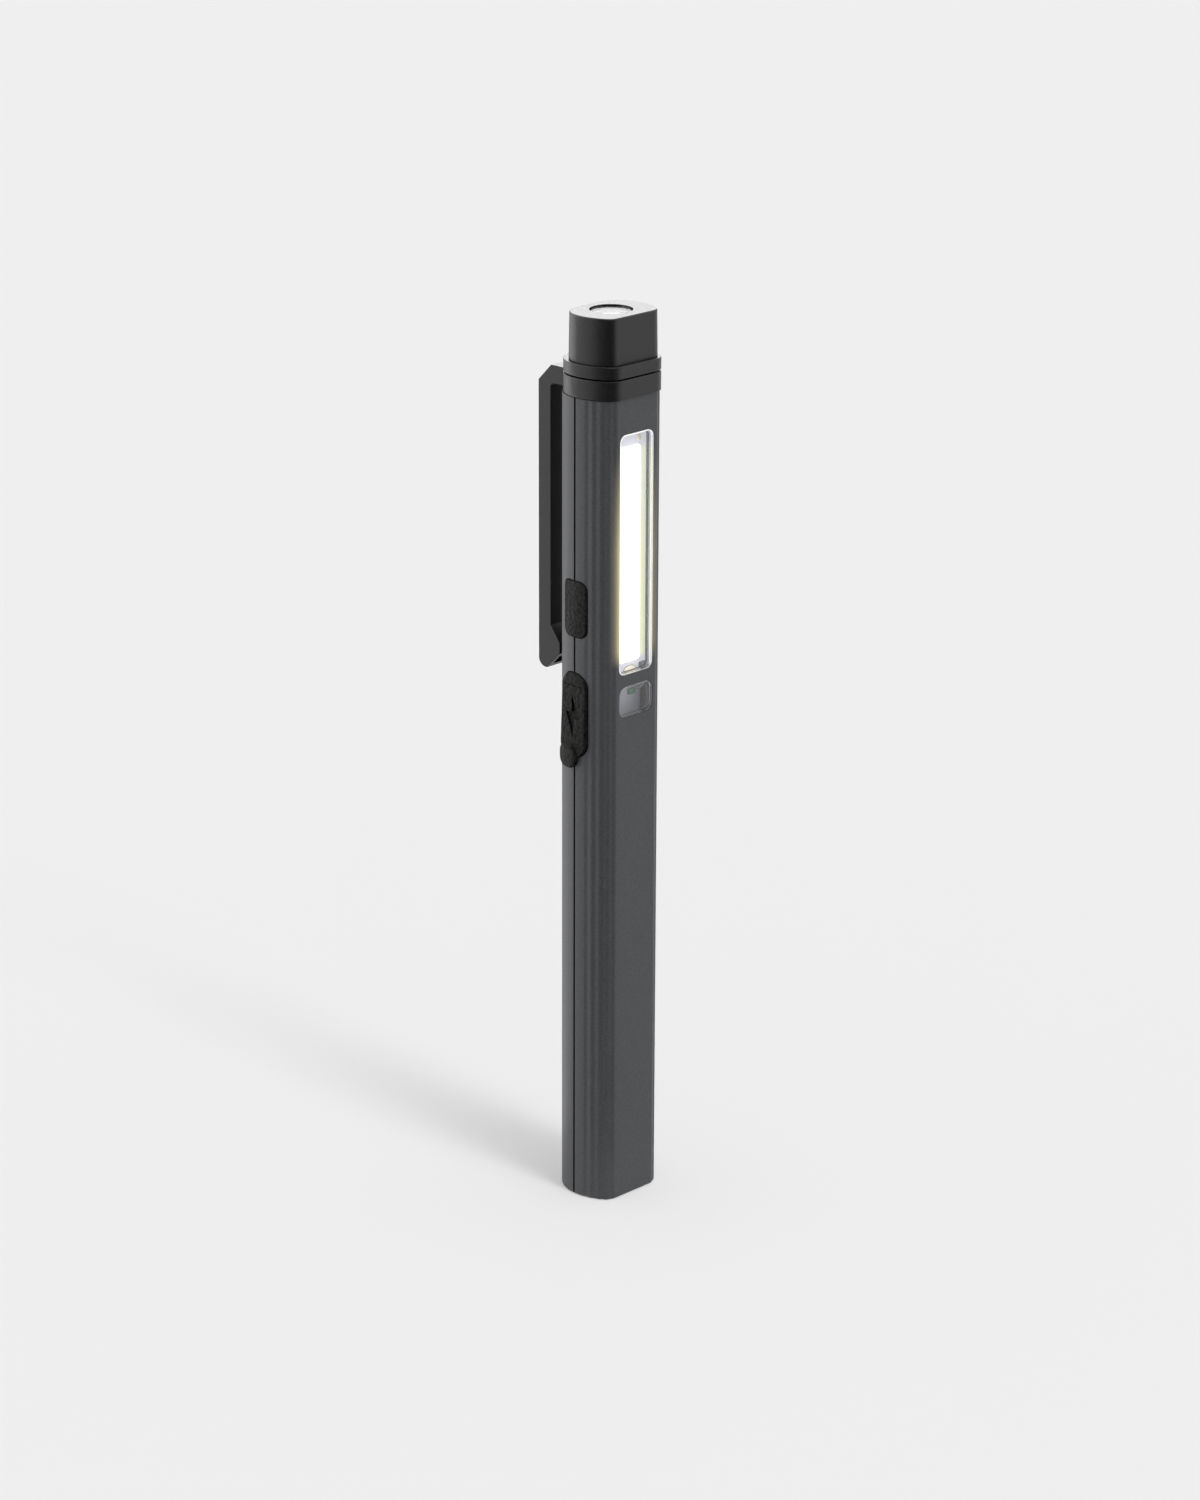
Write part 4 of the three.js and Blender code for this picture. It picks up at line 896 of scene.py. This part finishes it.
front_shell()
back_shell()


# Collar ring round the neck
def clip_collar():
    shape = prism(section_outline(collar), SHOULDER_Z, COLLAR_TOP_Z)
    soften_rims(shape, (SHOULDER_Z, COLLAR_TOP_Z), SOFT_EDGE)
    ring = as_object("collar_ring", shape)
    hole = barrel.moved(NECK_INSET - FIT)
    cut(ring, prism(section_outline(hole), SHOULDER_Z - OVERRUN, COLLAR_TOP_Z + OVERRUN))
    return finish_piece(ring, satin_black, "head_plastic", "barrel", "clip_collar")


clip_collar()


# Head cap: flange, fine groove, drafted cap with a softened top edge, and the lens bore
def head_cap():
    flange_low = COLLAR_TOP_Z + HEAD_SEAM
    flange_high = COLLAR_TOP_Z + SEAM + FLANGE_HEIGHT
    flange = prism(section_outline(collar), flange_low, flange_high)
    soften_rims(flange, (flange_low, flange_high), SOFT_EDGE)
    waist = section_outline(cap.moved(CAP_GROOVE_DEPTH))
    head = loft([
        (waist, flange_high - OVERRUN),
        (waist, flange_high + CAP_GROOVE_HEIGHT),
        (section_outline(cap), flange_high + CAP_GROOVE_HEIGHT + CAP_GROOVE_DEPTH / 4),
        (section_outline(cap.moved(CAP_DRAFT)), TOP_Z),
    ])
    soften_rims(head, (TOP_Z,), CAP_EDGE, CAP_EDGE_SEGMENTS)
    plug_outline = section_outline(barrel.moved(NECK_INSET + NECK_WALL + FIT))
    plug = prism(plug_outline, flange_low - PLUG_LENGTH, flange_low + OVERRUN)
    piece = as_object("head_cover", head)
    join(piece, flange, plug)
    bore = lens_high.x + FIT
    floor = reflector_low.z - BORE_FLOOR_DEPTH
    cut(piece, rod((0, 0, floor), (0, 0, TOP_Z + OVERRUN), bore))
    return finish_piece(piece, satin_black, "head_plastic", "barrel", "head_cap")


head_cap()


# Head lens, with a slightly domed top and a bevelled rim
LENS_EDGE = 0.1
LENS_DOME = 0.1


def head_lens():
    radius = lens_high.x + FIT / 2
    flat_radius = radius - LENS_EDGE
    points = [(0, lens_low.z), (flat_radius, lens_low.z), (radius, lens_low.z + LENS_EDGE)]
    points.append((radius, lens_high.z - LENS_EDGE))
    for i in range(LENS_STEPS + 1):
        share = 1 - i / LENS_STEPS
        points.append((flat_radius * share, lens_high.z + LENS_DOME * (1 - share ** 2)))
    piece = as_object("lens_disc", turned(points))
    return finish_piece(piece, lens_clear, "clear_plastic", "barrel", "head_lens")


head_lens()


# Bowl round the head's lamp
REFLECTOR_THROAT = 1.9
REFLECTOR_RIM = 0.5


def head_reflector():
    outer = reflector_high.x
    low = reflector_low.z
    high = reflector_high.z
    spread = outer - REFLECTOR_RIM - REFLECTOR_THROAT
    points = [(outer, low), (outer, high)]
    for i in range(REFLECTOR_STEPS + 1):
        share = 1 - i / REFLECTOR_STEPS
        points.append((REFLECTOR_THROAT + spread * math.sqrt(share), low + (high - low) * share))
    piece = as_object("reflector_bowl", turned(points, closed=True))
    mirror = grained("mirror_coat", (0.33, 0.325, 0.33), (0.39, 0.385, 0.39), 0.34, 0.04, 500.0, metallic=1.0)
    return finish_piece(piece, mirror, "mirror_plastic", "barrel", "head_reflector")


head_reflector()


# Pocket clip: arm out of the collar, long blade, and a wedge that presses on the barrel
CLIP_THICKNESS = 3.0
CLIP_CHAMFER = 3.1
CLIP_FILLET = 0.8
CLIP_TIP_RADIUS = 1.6
CLIP_PAD_RISE = 8.2
CLIP_HEEL_RISE = 5.2
CLIP_FOOT_RISE = 3.2
CLIP_EDGE = 0.3
CLIP_POCKET_WALL = 0.75
CLIP_POCKET_TOP = 5.4
CLIP_POCKET_OUTER = 1.5
CLIP_ARM_GAP = 0.1


# Points of an arc from one angle to another, in degrees
def arc(centre_y, centre_z, radius, start, end):
    points = []
    for i in range(ROUND_STEPS + 1):
        angle = math.radians(start + (end - start) * i / ROUND_STEPS)
        points.append((centre_y + radius * math.cos(angle), centre_z + radius * math.sin(angle)))
    return points


def pocket_clip():
    outer = clip_high.y
    inner = outer - CLIP_THICKNESS
    pad = BARREL_BACK + GAP
    tip = clip_low.z
    arm_top = clip_high.z
    arm_low = SHOULDER_Z + CLIP_ARM_GAP
    root = collar.back - OVERRUN
    profile = [(root, arm_top), (root, arm_low)]
    profile += arc(inner - CLIP_FILLET, arm_low - CLIP_FILLET, CLIP_FILLET, 90, 0)
    profile += [
        (inner, tip + CLIP_PAD_RISE),
        (pad, tip + CLIP_HEEL_RISE),
        (pad, tip + CLIP_FOOT_RISE),
        (pad + CLIP_FOOT_RISE, tip),
    ]
    profile += arc(outer - CLIP_TIP_RADIUS, tip + CLIP_TIP_RADIUS, CLIP_TIP_RADIUS, 270, 360)
    profile += [(outer, arm_top - CLIP_CHAMFER), (outer - CLIP_CHAMFER, arm_top)]
    shape = prism(profile, -clip_high.x, clip_high.x, SIDEWARDS)
    rims = edges_where(shape, lambda co: at(abs(co.x), clip_high.x))
    soften(shape, rims, CLIP_EDGE)
    piece = as_object("clip_blade", shape)
    pocket_front = pad + CLIP_POCKET_WALL
    pocket_back = outer - CLIP_POCKET_OUTER
    ramp = pad + CLIP_FOOT_RISE
    pocket = [
        (pocket_front, tip + CLIP_POCKET_TOP),
        (pocket_front, tip),
        (ramp - CLIP_POCKET_WALL, tip),
        (ramp - CLIP_POCKET_WALL, tip + CLIP_POCKET_WALL),
        (pocket_back, tip + CLIP_POCKET_WALL + pocket_back - ramp + CLIP_POCKET_WALL),
        (pocket_back, tip + CLIP_POCKET_TOP),
    ]
    half_width = clip_high.x - CLIP_POCKET_WALL
    cut(piece, prism(pocket, -half_width, half_width, SIDEWARDS))
    finish_piece(piece, satin_black, "head_plastic", None, "pocket_clip")
    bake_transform(piece)
    return piece


pocket_clip()


# Pad on the barrel's curved side: a softened slab, cut into narrow strips and wrapped on
def side_pad(outline, rise, edge, depth, flat_share=0.0, segments=EDGE_SEGMENTS):
    shape = prism(outline, -depth, 0, SIDEWARDS)
    soften(shape, edges_where(shape, lambda co: at(co.x, 0)), edge, segments)
    low = min(y for y, _ in outline)
    high = max(y for y, _ in outline)
    for i in range(1, PAD_STRIPS):
        bmesh.ops.bisect_plane(
            shape, geom=shape.verts[:] + shape.edges[:] + shape.faces[:],
            plane_co=(0, low + (high - low) * i / PAD_STRIPS, 0), plane_no=(0, 1, 0),
            dist=FINE_MERGE_DISTANCE,
        )
    for vert in shape.verts:
        x, y, z = vert.co
        side_x = barrel.side_x(y)
        side_x += flat_share * (barrel.side_x(SIDE_AXIS_Y) - side_x)
        vert.co.x = -(side_x + rise(z) + x)
    bmesh.ops.recalc_face_normals(shape, faces=shape.faces)
    return shape


# Push button in the barrel's side
BUTTON_PROUD = 0.15
BUTTON_EDGE = 0.28
BUTTON_THICKNESS = 2.2
BUTTON_PLATE_WIDTH = BUTTON_WIDTH + 0.9
BUTTON_PLATE_HEIGHT = BUTTON_HEIGHT + 1.5
BUTTON_PLATE_THICKNESS = 0.7
BUTTON_POST_RADIUS = 1.0
BUTTON_STEM_INSET = 0.3
BUTTON_STEM_LENGTH = 1.5
BUTTON_STEM_OVERLAP = 0.1


def side_button():
    face = side_pad(button_outline(0), lambda z: BUTTON_PROUD, BUTTON_EDGE, BUTTON_THICKNESS)
    piece = as_object("push_button", face)
    plate_x = -(BARREL_HALF_WIDTH - BUTTON_PLATE_DEPTH)
    plate_outline = rounded_rectangle(
        BUTTON_PLATE_WIDTH, BUTTON_PLATE_HEIGHT, BUTTON_CORNER, SIDE_AXIS_Y, BUTTON_Z
    )
    plate = prism(plate_outline, plate_x, plate_x + BUTTON_PLATE_THICKNESS, SIDEWARDS)
    post = rod((plate_x, SIDE_AXIS_Y, BUTTON_Z), (button_high.x, SIDE_AXIS_Y, BUTTON_Z), BUTTON_POST_RADIUS)
    stem = prism(
        button_outline(-BUTTON_STEM_INSET), plate_x - BUTTON_STEM_LENGTH, plate_x + BUTTON_STEM_OVERLAP,
        SIDEWARDS,
    )
    join(piece, stem, plate, post)
    return finish_piece(piece, grained_rubber, "rubber", "button", "side_button")


side_button()


# Height of the port cover above the barrel's side, which grows towards its foot
def cover_rise(z):
    share = (COVER_TOP_Z - z) / COVER_HEIGHT
    return COVER_PROUD_TOP + (COVER_PROUD_FOOT - COVER_PROUD_TOP) * min(max(share, 0), 1)


COVER_EDGE = 0.22
COVER_THICKNESS = 1.25
BUNG_DEPTH = 0.4
PIN_HEIGHT = 1.0
PIN_RADIUS = 0.7
PIN_OVERLAP = 0.5
BULB_RADIUS = 1.2
BULB_LENGTH = 0.8


# Cover between two heights
def cover_skin(name, low_z, high_z):
    pad = side_pad(cover_outline(0), cover_rise, COVER_EDGE, COVER_THICKNESS, COVER_FLAT_SHARE)
    return keep_inside(as_object(name, pad), block((-REACH, -REACH, low_z), (0, REACH, high_z)))


# Flap with its pull nub, the bung that fills the way to the socket, and the sunk mark
def port_cover():
    skin = cover_skin("port_flap", 0, flap_high.z)
    nub_z = flap_low.z + NUB_HEIGHT / 2
    nub_outline = rounded_rectangle(NUB_WIDTH, NUB_HEIGHT, NUB_CORNER, SIDE_AXIS_Y + NUB_OFFSET, nub_z)
    nub = side_pad(nub_outline, lambda z: NUB_PROUD, NUB_EDGE, NUB_PROUD - GAP, segments=NUB_EDGE_SEGMENTS)
    bung_x = -(BARREL_HALF_WIDTH - RECESS_DEPTH + BUNG_DEPTH)
    bung = prism(socket_outline(0), bung_x, flap_high.x, SIDEWARDS)
    join(skin, nub, bung)
    cut(skin, charge_mark())
    return finish_piece(skin, grained_rubber, "rubber", "port_flap", "port_cover")


# Fixed upper end of the cover, with the pin and bulb that hold it in the wall
def port_tether():
    skin = cover_skin("port_hinge", tether_low.z, TOP_Z)
    pin_z = tether_low.z + PIN_HEIGHT
    pin_x = -(BARREL_HALF_WIDTH - RECESS_DEPTH + PIN_OVERLAP)
    bulb_x = tether_high.x - BULB_LENGTH
    pin = rod((pin_x, SIDE_AXIS_Y, pin_z), (bulb_x, SIDE_AXIS_Y, pin_z), PIN_RADIUS, PIN_SIDES)
    bulb = rod((bulb_x, SIDE_AXIS_Y, pin_z), (tether_high.x, SIDE_AXIS_Y, pin_z), BULB_RADIUS, PIN_SIDES)
    join(skin, pin, bulb)
    return finish_piece(skin, grained_rubber, "rubber", "barrel", "port_tether")


# Plain charging bolt, sunk into the flap
MARK_DEPTH = 0.42
MARK_WIDTH = 3.4
MARK_HEIGHT = 8.2
MARK_DROP = 0.1
MARK_SHARES = ((0.1, 0.5), (-0.5, -0.07), (-0.06, -0.07), (-0.1, -0.5), (0.5, 0.07), (0.06, 0.07))


def charge_mark():
    centre_z = COVER_Z - MARK_DROP
    points = [(SIDE_AXIS_Y + y * MARK_WIDTH, centre_z + z * MARK_HEIGHT) for y, z in MARK_SHARES]
    surface = barrel.side_x(SIDE_AXIS_Y)
    mark = prism(points, -(surface + OVERRUN), -(surface - MARK_DEPTH), SIDEWARDS)
    for vert in mark.verts:
        vert.co.x -= cover_rise(vert.co.z)
    return mark


port_cover()
port_tether()


# Windows: a plate with softened edges, a skirt through the wall and a flange behind it
WINDOW_THICKNESS = 1.1
WINDOW_SKIRT = 0.4
WINDOW_END_SKIRT = 0.15
WINDOW_FLANGE_THICKNESS = 0.5
WINDOW_HOLLOW_EDGE = 0.2


def window_tray(name, low, high, corner, material, node):
    plate = prism(window_outline(low, high, corner, 0), low.y, high.y, FRONTWARDS)
    soften(plate, edges_where(plate, lambda co: at(co.y, low.y)), WINDOW_EDGE)
    piece = as_object(name, plate)
    flange_outline = window_outline(low, high, corner, WINDOW_FLANGE)
    join(piece, prism(flange_outline, high.y - WINDOW_FLANGE_THICKNESS, high.y, FRONTWARDS))
    hollow_width = 2 * (high.x - WINDOW_FLANGE - WINDOW_SKIRT)
    hollow_height = high.z - low.z - 2 * (WINDOW_FLANGE + WINDOW_END_SKIRT)
    hollow_outline = rounded_rectangle(
        hollow_width, hollow_height, corner - WINDOW_SKIRT, 0, (low.z + high.z) / 2
    )
    ceiling = low.y + WINDOW_THICKNESS
    hollow = prism(hollow_outline, ceiling, high.y + OVERRUN, FRONTWARDS)
    soften(hollow, edges_where(hollow, lambda co: at(co.y, ceiling)), WINDOW_HOLLOW_EDGE)
    cut(piece, hollow)
    return finish_piece(piece, material, "clear_plastic", "barrel", node)


window_tray("long_window", window_low, window_high, WINDOW_CORNER, clear_window, "cob_window")
window_tray(
    "small_window", small_low, small_high, SMALL_WINDOW_CORNER, small_clear_window, "indicator_window"
)


# Lit strip behind the long window
STRIP_CORNER = 0.6
STRIP_EDGE = 0.25


def lamp_strip():
    width = strip_high.x - strip_low.x
    height = strip_high.z - strip_low.z
    centre = (strip_low.z + strip_high.z) / 2
    outline = rounded_rectangle(width, height, STRIP_CORNER, 0, centre)
    shape = prism(outline, strip_low.y, strip_high.y, FRONTWARDS)
    soften(shape, edges_where(shape, lambda co: at(co.y, strip_low.y)), STRIP_EDGE)
    piece = as_object("lamp_strip", shape)
    return finish_piece(piece, lit_strip, "phosphor", "barrel", "cob_strip")


lamp_strip()


# White board of the lamp strip, with a painted yellow-green pool of the strip's light beside the strip
BOARD_PAINTED_LIGHT = (0.89, 0.93, 0.58)
BOARD_PAINTED_LIGHT_WIDTH = 2.4
BOARD_PAINTED_LIGHT_FADE = 1.0


def lamp_board_finish():
    material, finish = new_finish("lamp_board")
    fine = finish.grain(900.0)
    # Painted light: the board's colour turns yellow-green close beside the strip
    beside = finish.falling(finish.away_from("X"), strip_high.x, strip_high.x + BOARD_PAINTED_LIGHT_WIDTH)
    middle = (strip_low.z + strip_high.z) / 2
    half_height = strip_high.z - middle
    near_strip = finish.falling(finish.away_from("Z", middle), half_height - BOARD_PAINTED_LIGHT_FADE, half_height)
    white = finish.colours(fine, (0.60, 0.60, 0.66), (0.72, 0.72, 0.78))
    finish.surface(
        Base_Color=finish.colours(beside * near_strip, white, BOARD_PAINTED_LIGHT),
        Roughness=finish.between(fine, 0.34, 0.46),
    )
    return material


HEAD_LAMP_HALF_WIDTH = 1.2

# Plain finishes: darkest and palest colour, roughness and its spread, fineness of the grain, depth of
# the grain and share of metal
PLAIN_FINISHES = {
    "board_white": ((0.62, 0.63, 0.68), (0.72, 0.73, 0.78), 0.4, 0.06, 250.0),
    "foam_white": ((0.60, 0.60, 0.62), (0.78, 0.78, 0.80), 0.85, 0.08, 2400.0, FOAM_GRAIN),
    "moulded_grey": ((0.10, 0.10, 0.115), (0.15, 0.15, 0.17), 0.42, 0.08, 1800.0, MOULD_GRAIN),
    "moulded_black": ((0.006, 0.006, 0.007), (0.014, 0.014, 0.016), 0.42, 0.08, 1800.0, MOULD_GRAIN),
    "dark_steel": ((0.10, 0.10, 0.105), (0.16, 0.16, 0.165), 0.34, 0.08, 900.0, METAL_GRAIN, 1.0),
    "brushed_steel": ((0.50, 0.51, 0.52), (0.62, 0.63, 0.64), 0.28, 0.08, 900.0, METAL_GRAIN, 1.0),
    "nickel_plate": ((0.48, 0.47, 0.44), (0.60, 0.59, 0.55), 0.3, 0.08, 700.0, METAL_GRAIN, 1.0),
    "rolled_aluminium": ((0.58, 0.59, 0.60), (0.70, 0.71, 0.72), 0.36, 0.08, 600.0, METAL_GRAIN, 1.0),
    "solder": ((0.62, 0.57, 0.42), (0.76, 0.72, 0.58), 0.3, 0.1, 1500.0, SOLDER_GRAIN, 0.6),
    "pale_solder": ((0.72, 0.66, 0.50), (0.86, 0.82, 0.68), 0.35, 0.1, 1500.0, SOLDER_GRAIN),
    "brown_flux": ((0.16, 0.12, 0.06), (0.26, 0.20, 0.10), 0.4, 0.1, 1500.0, MOULD_GRAIN),
    "cell_wrap": ((0.03, 0.11, 0.26), (0.05, 0.16, 0.33), 0.35, 0.06, 300.0),
    "red_lens": ((0.20, 0.12, 0.11), (0.28, 0.17, 0.16), 0.3),
    "green_lens": ((0.16, 0.34, 0.22), (0.22, 0.44, 0.30), 0.3),
    "red_wire": ((0.30, 0.014, 0.01), (0.42, 0.024, 0.018), 0.45, 0.08, 1500.0),
    "black_wire": ((0.008, 0.008, 0.009), (0.018, 0.018, 0.02), 0.45, 0.08, 1500.0),
    "grey_wire": ((0.34, 0.34, 0.37), (0.44, 0.44, 0.47), 0.45, 0.08, 1500.0),
    "seal_rubber": ((0.012, 0.012, 0.012), (0.022, 0.022, 0.021), 0.7, 0.08, 1200.0),
}
finishes = {name: grained(name, *values) for name, values in PLAIN_FINISHES.items()}
finishes["lamp_board"] = lamp_board_finish()
finishes["head_phosphor"] = phosphor_finish("head_phosphor", HEAD_LAMP_HALF_WIDTH, 0.0)

# Pieces that stay as the frame has them, by their finish
KEPT_NODES = {
    "lamp_board": ("cob_board",),
    "head_phosphor": ("head_led",),
    "board_white": ("head_board", "main_board"),
    "foam_white": ("window_gasket", "switch_plunger"),
    "moulded_grey": ("cob_resistor",),
    "moulded_black": ("driver_chip", "charge_chip", "driver_inductor", "switch_body", "usb_tongue"),
    "dark_steel": ("case_screw_lower", "case_screw_upper"),
    "brushed_steel": ("usb_shell",),
    "nickel_plate": ("battery_button", "battery_tab_upper", "battery_tab_lower", "base_magnet"),
    "rolled_aluminium": ("heat_plate",),
    "solder": ("cob_solder_upper",),
    "cell_wrap": ("battery_cell",),
    "red_lens": ("indicator_led_red",),
    "green_lens": ("indicator_led_green",),
    "red_wire": ("lead_battery_positive", "lead_head_positive"),
    "black_wire": ("lead_battery_negative", "lead_head_negative"),
    "grey_wire": ("lead_strip_positive", "lead_strip_negative"),
    "seal_rubber": ("head_seal",),
}
for name, nodes in KEPT_NODES.items():
    for node in nodes:
        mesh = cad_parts[node].data
        mesh.materials.clear()
        mesh.materials.append(finishes[name])

# Wide solder dome at the lower end of the strip's board, in a ring of brown flux
SOLDER_HALF_WIDTH = 1.5
SOLDER_HALF_HEIGHT = 0.75
SOLDER_RISE = 0.32
FLUX_MARGIN = 0.12


# Half of a ball, squashed to an oval dome that faces the front
def oval_dome(name, half_width, half_height, rise, centre, material):
    shape = bmesh.new()
    bmesh.ops.create_uvsphere(shape, u_segments=DOME_SEGMENTS, v_segments=DOME_SEGMENTS // 2, radius=1)
    bmesh.ops.bisect_plane(
        shape, geom=shape.verts[:] + shape.edges[:] + shape.faces[:],
        plane_co=(0, 0, 0), plane_no=(0, 1, 0), clear_outer=True,
    )
    open_edges = [edge for edge in shape.edges if edge.is_boundary]
    bmesh.ops.holes_fill(shape, edges=open_edges)
    bmesh.ops.scale(shape, vec=(half_width, rise, half_height), verts=shape.verts)
    bmesh.ops.translate(shape, vec=centre, verts=shape.verts)
    bmesh.ops.recalc_face_normals(shape, faces=shape.faces)
    return finish_piece(as_object(name, shape), material, "solder", "barrel", "cob_solder_lower")


def solder_dome():
    low, high = box_mm("cob_solder_lower")
    centre = ((low.x + high.x) / 2, high.y, (low.z + high.z) / 2)
    oval_dome(
        "solder_dome", SOLDER_HALF_WIDTH, SOLDER_HALF_HEIGHT, SOLDER_RISE, centre, finishes["pale_solder"]
    )
    oval_dome(
        "solder_flux", SOLDER_HALF_WIDTH + FLUX_MARGIN, SOLDER_HALF_HEIGHT + FLUX_MARGIN, SOLDER_RISE / 4,
        centre, finishes["brown_flux"],
    )


solder_dome()


# Floor: plain and pale, wide enough to fill the picture
FLOOR_HALF_SIZE = 4.0
FLOOR_COLOUR = (0.86, 0.86, 0.86)


def pale_floor():
    shape = bmesh.new()
    bmesh.ops.create_grid(shape, x_segments=1, y_segments=1, size=FLOOR_HALF_SIZE)
    floor = as_object("pale_floor", shape)
    material, finish = new_finish("pale_floor")
    finish.surface(Base_Color=(*FLOOR_COLOUR, 1.0), Roughness=0.9, Specular_IOR_Level=0.0)
    floor.data.materials.append(material)
    floor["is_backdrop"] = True
    return floor


floor = pale_floor()


# Direction of a lamp from its turn about the upright and its height above level, in degrees
def direction_to(turn, height):
    turn = math.radians(turn)
    height = math.radians(height)
    return Vector((math.sin(turn) * math.cos(height), math.cos(turn) * math.cos(height), math.sin(height)))


def soft_sun(name, turn, height, width, strength, lit=None):
    light = bpy.data.lights.new(name, "SUN")
    light.angle = math.radians(width)
    light.energy = strength
    lamp = bpy.data.objects.new(name, light)
    lamp.rotation_euler = direction_to(turn, height).to_track_quat("Z", "Y").to_euler()
    bpy.context.scene.collection.objects.link(lamp)
    if lit:
        lamp.light_linking.receiver_collection = lit
    return lamp


def group_of(name, pieces):
    group = bpy.data.collections.new(name)
    for piece in pieces:
        group.objects.link(piece)
    return group


# Lamps. A tall soft light stands in front and throws the long faint shadow; the floor has an even
# lamp of its own; the penlight has soft lamps at its sides and behind it.
FRONT_TURN = -176.0
FRONT_WIDTH = 10.0
FRONT_HEIGHTS = (84.0, 76.0, 66.0, 54.0, 40.0)
FRONT_STRENGTHS = (0.22, 0.245, 0.24, 0.16, 0.14)
BACK_LAMP = {"turn": 46.0, "height": 26.0, "width": 34.0}
WINDOW_LAMP = {"turn": -160.0, "height": 30.0, "width": 30.0}

penlight_pieces = group_of("penlight_pieces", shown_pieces())
floor_pieces = group_of("floor_pieces", [floor])
for front_height, front_strength in zip(FRONT_HEIGHTS, FRONT_STRENGTHS):
    soft_sun("front_lamp", FRONT_TURN, front_height, FRONT_WIDTH, front_strength)
floor_lamp = soft_sun("floor_lamp", turn=0.0, height=90.0, width=1.0, strength=1.0, lit=floor_pieces)
soft_sun("left_lamp", turn=-44.0, height=24.0, width=50.0, strength=1.0, lit=penlight_pieces)
soft_sun("right_lamp", turn=136.0, height=30.0, width=50.0, strength=0.45, lit=penlight_pieces)
lens = bpy.data.objects["lens_disc"]
behind_pieces = group_of("behind_pieces", [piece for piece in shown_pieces() if piece != lens])
lens_pieces = group_of("lens_pieces", [lens])
soft_sun("back_lamp", **BACK_LAMP, strength=1.2, lit=behind_pieces)
soft_sun("lens_lamp", **BACK_LAMP, strength=0.25, lit=lens_pieces)

# The clear windows let the daylight in to what lies behind them
LAMP_BOARD_NODES = ("cob_board", "cob_resistor", "cob_solder_upper")
MAIN_BOARD_NODES = ("main_board", "indicator_led_red", "indicator_led_green")
lamp_board_pieces = group_of("lamp_board_pieces", [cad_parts[node] for node in LAMP_BOARD_NODES])
for name in ("solder_dome", "solder_flux"):
    lamp_board_pieces.objects.link(bpy.data.objects[name])
main_board_pieces = group_of("main_board_pieces", [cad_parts[node] for node in MAIN_BOARD_NODES])
window_lamp = soft_sun("window_lamp", **WINDOW_LAMP, strength=1.9, lit=lamp_board_pieces)
small_window_lamp = soft_sun("small_window_lamp", **WINDOW_LAMP, strength=0.27, lit=main_board_pieces)
for lamp in (floor_lamp, window_lamp, small_window_lamp):
    lamp.data.use_shadow = False


# Card that only glossy surfaces see: a low sector round the penlight that turns up into a wall
CARD_NEAR = 0.03
CARD_FAR = 0.7
CARD_LOW = 0.0008
CARD_HIGH = 0.6
CARD_STEPS = 24


def glossy_card(name, from_turn, to_turn, glow):
    shape = bmesh.new()
    spots = ((CARD_NEAR, 0, CARD_LOW), (CARD_FAR, 0, CARD_LOW), (CARD_FAR, 0, CARD_HIGH))
    profile = [shape.verts.new(spot) for spot in spots]
    edges = [shape.edges.new(pair) for pair in zip(profile, profile[1:])]
    bmesh.ops.rotate(shape, matrix=Matrix.Rotation(math.radians(from_turn), 3, "Z"), verts=profile)
    bmesh.ops.spin(
        shape, geom=profile + edges, axis=(0, 0, 1), cent=(0, 0, 0),
        angle=math.radians(to_turn - from_turn), steps=CARD_STEPS,
    )
    card = as_object(name, shape)
    material, finish = new_finish(name)
    finish.surface(
        Base_Color=(*NO_LIGHT, 1.0), Roughness=1.0, Specular_IOR_Level=0.0,
        Emission_Color=(1.0, 1.0, 1.0, 1.0), Emission_Strength=glow,
    )
    card.data.materials.append(material)
    card.visible_camera = False
    card.visible_diffuse = False
    card.visible_transmission = False
    card.visible_shadow = False
    card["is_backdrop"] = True
    return card


glossy_card("dark_card", from_turn=178.8, to_turn=278.8, glow=0.0)
glossy_card("bright_card", from_turn=88.0, to_turn=117.0, glow=2.2)

# World: an even pale surround, brighter where the camera, a gloss or a window looks at it
SEEN_RAYS = ("Is Camera Ray", "Is Glossy Ray", "Is Transmission Ray")
SURROUND_STRENGTH = 0.4
BACKGROUND_STRENGTH = 0.86


def pale_world():
    world = bpy.data.worlds.new("pale_world")
    bpy.context.scene.world = world
    finish = Finish(world)
    shown = 0.0
    for kind in SEEN_RAYS:
        shown = finish.larger(finish.node("ShaderNodeLightPath", output=kind), shown)
    strength = finish.between(shown, SURROUND_STRENGTH, BACKGROUND_STRENGTH)
    background = finish.node("ShaderNodeBackground", {}, {"Color": (1, 1, 1, 1), "Strength": strength})
    finish.node("ShaderNodeOutputWorld", {}, {"Surface": background})


pale_world()

# Camera, placed and turned as the photograph was taken
CAMERA_PLACE = (-0.52698, -0.50653, 0.33003)
CAMERA_TURN = -46.0
CAMERA_TILT = 71.423
CAMERA_ROLL = 0.182
CAMERA_LENS = 103.25
CAMERA_REACH = 20.0


def photo_camera():
    data = bpy.data.cameras.new("photo_camera")
    data.lens = CAMERA_LENS
    data.clip_end = CAMERA_REACH
    camera = bpy.data.objects.new("photo_camera", data)
    turns = ((CAMERA_TURN, "Z"), (CAMERA_TILT, "X"), (CAMERA_ROLL, "Z"))
    matrix = Matrix.Translation(CAMERA_PLACE)
    for angle, axis in turns:
        matrix = matrix @ Matrix.Rotation(math.radians(angle), 4, axis)
    camera.matrix_world = matrix
    bpy.context.scene.collection.objects.link(camera)
    bpy.context.scene.camera = camera


photo_camera()
bpy.context.scene.view_settings.view_transform = "Standard"
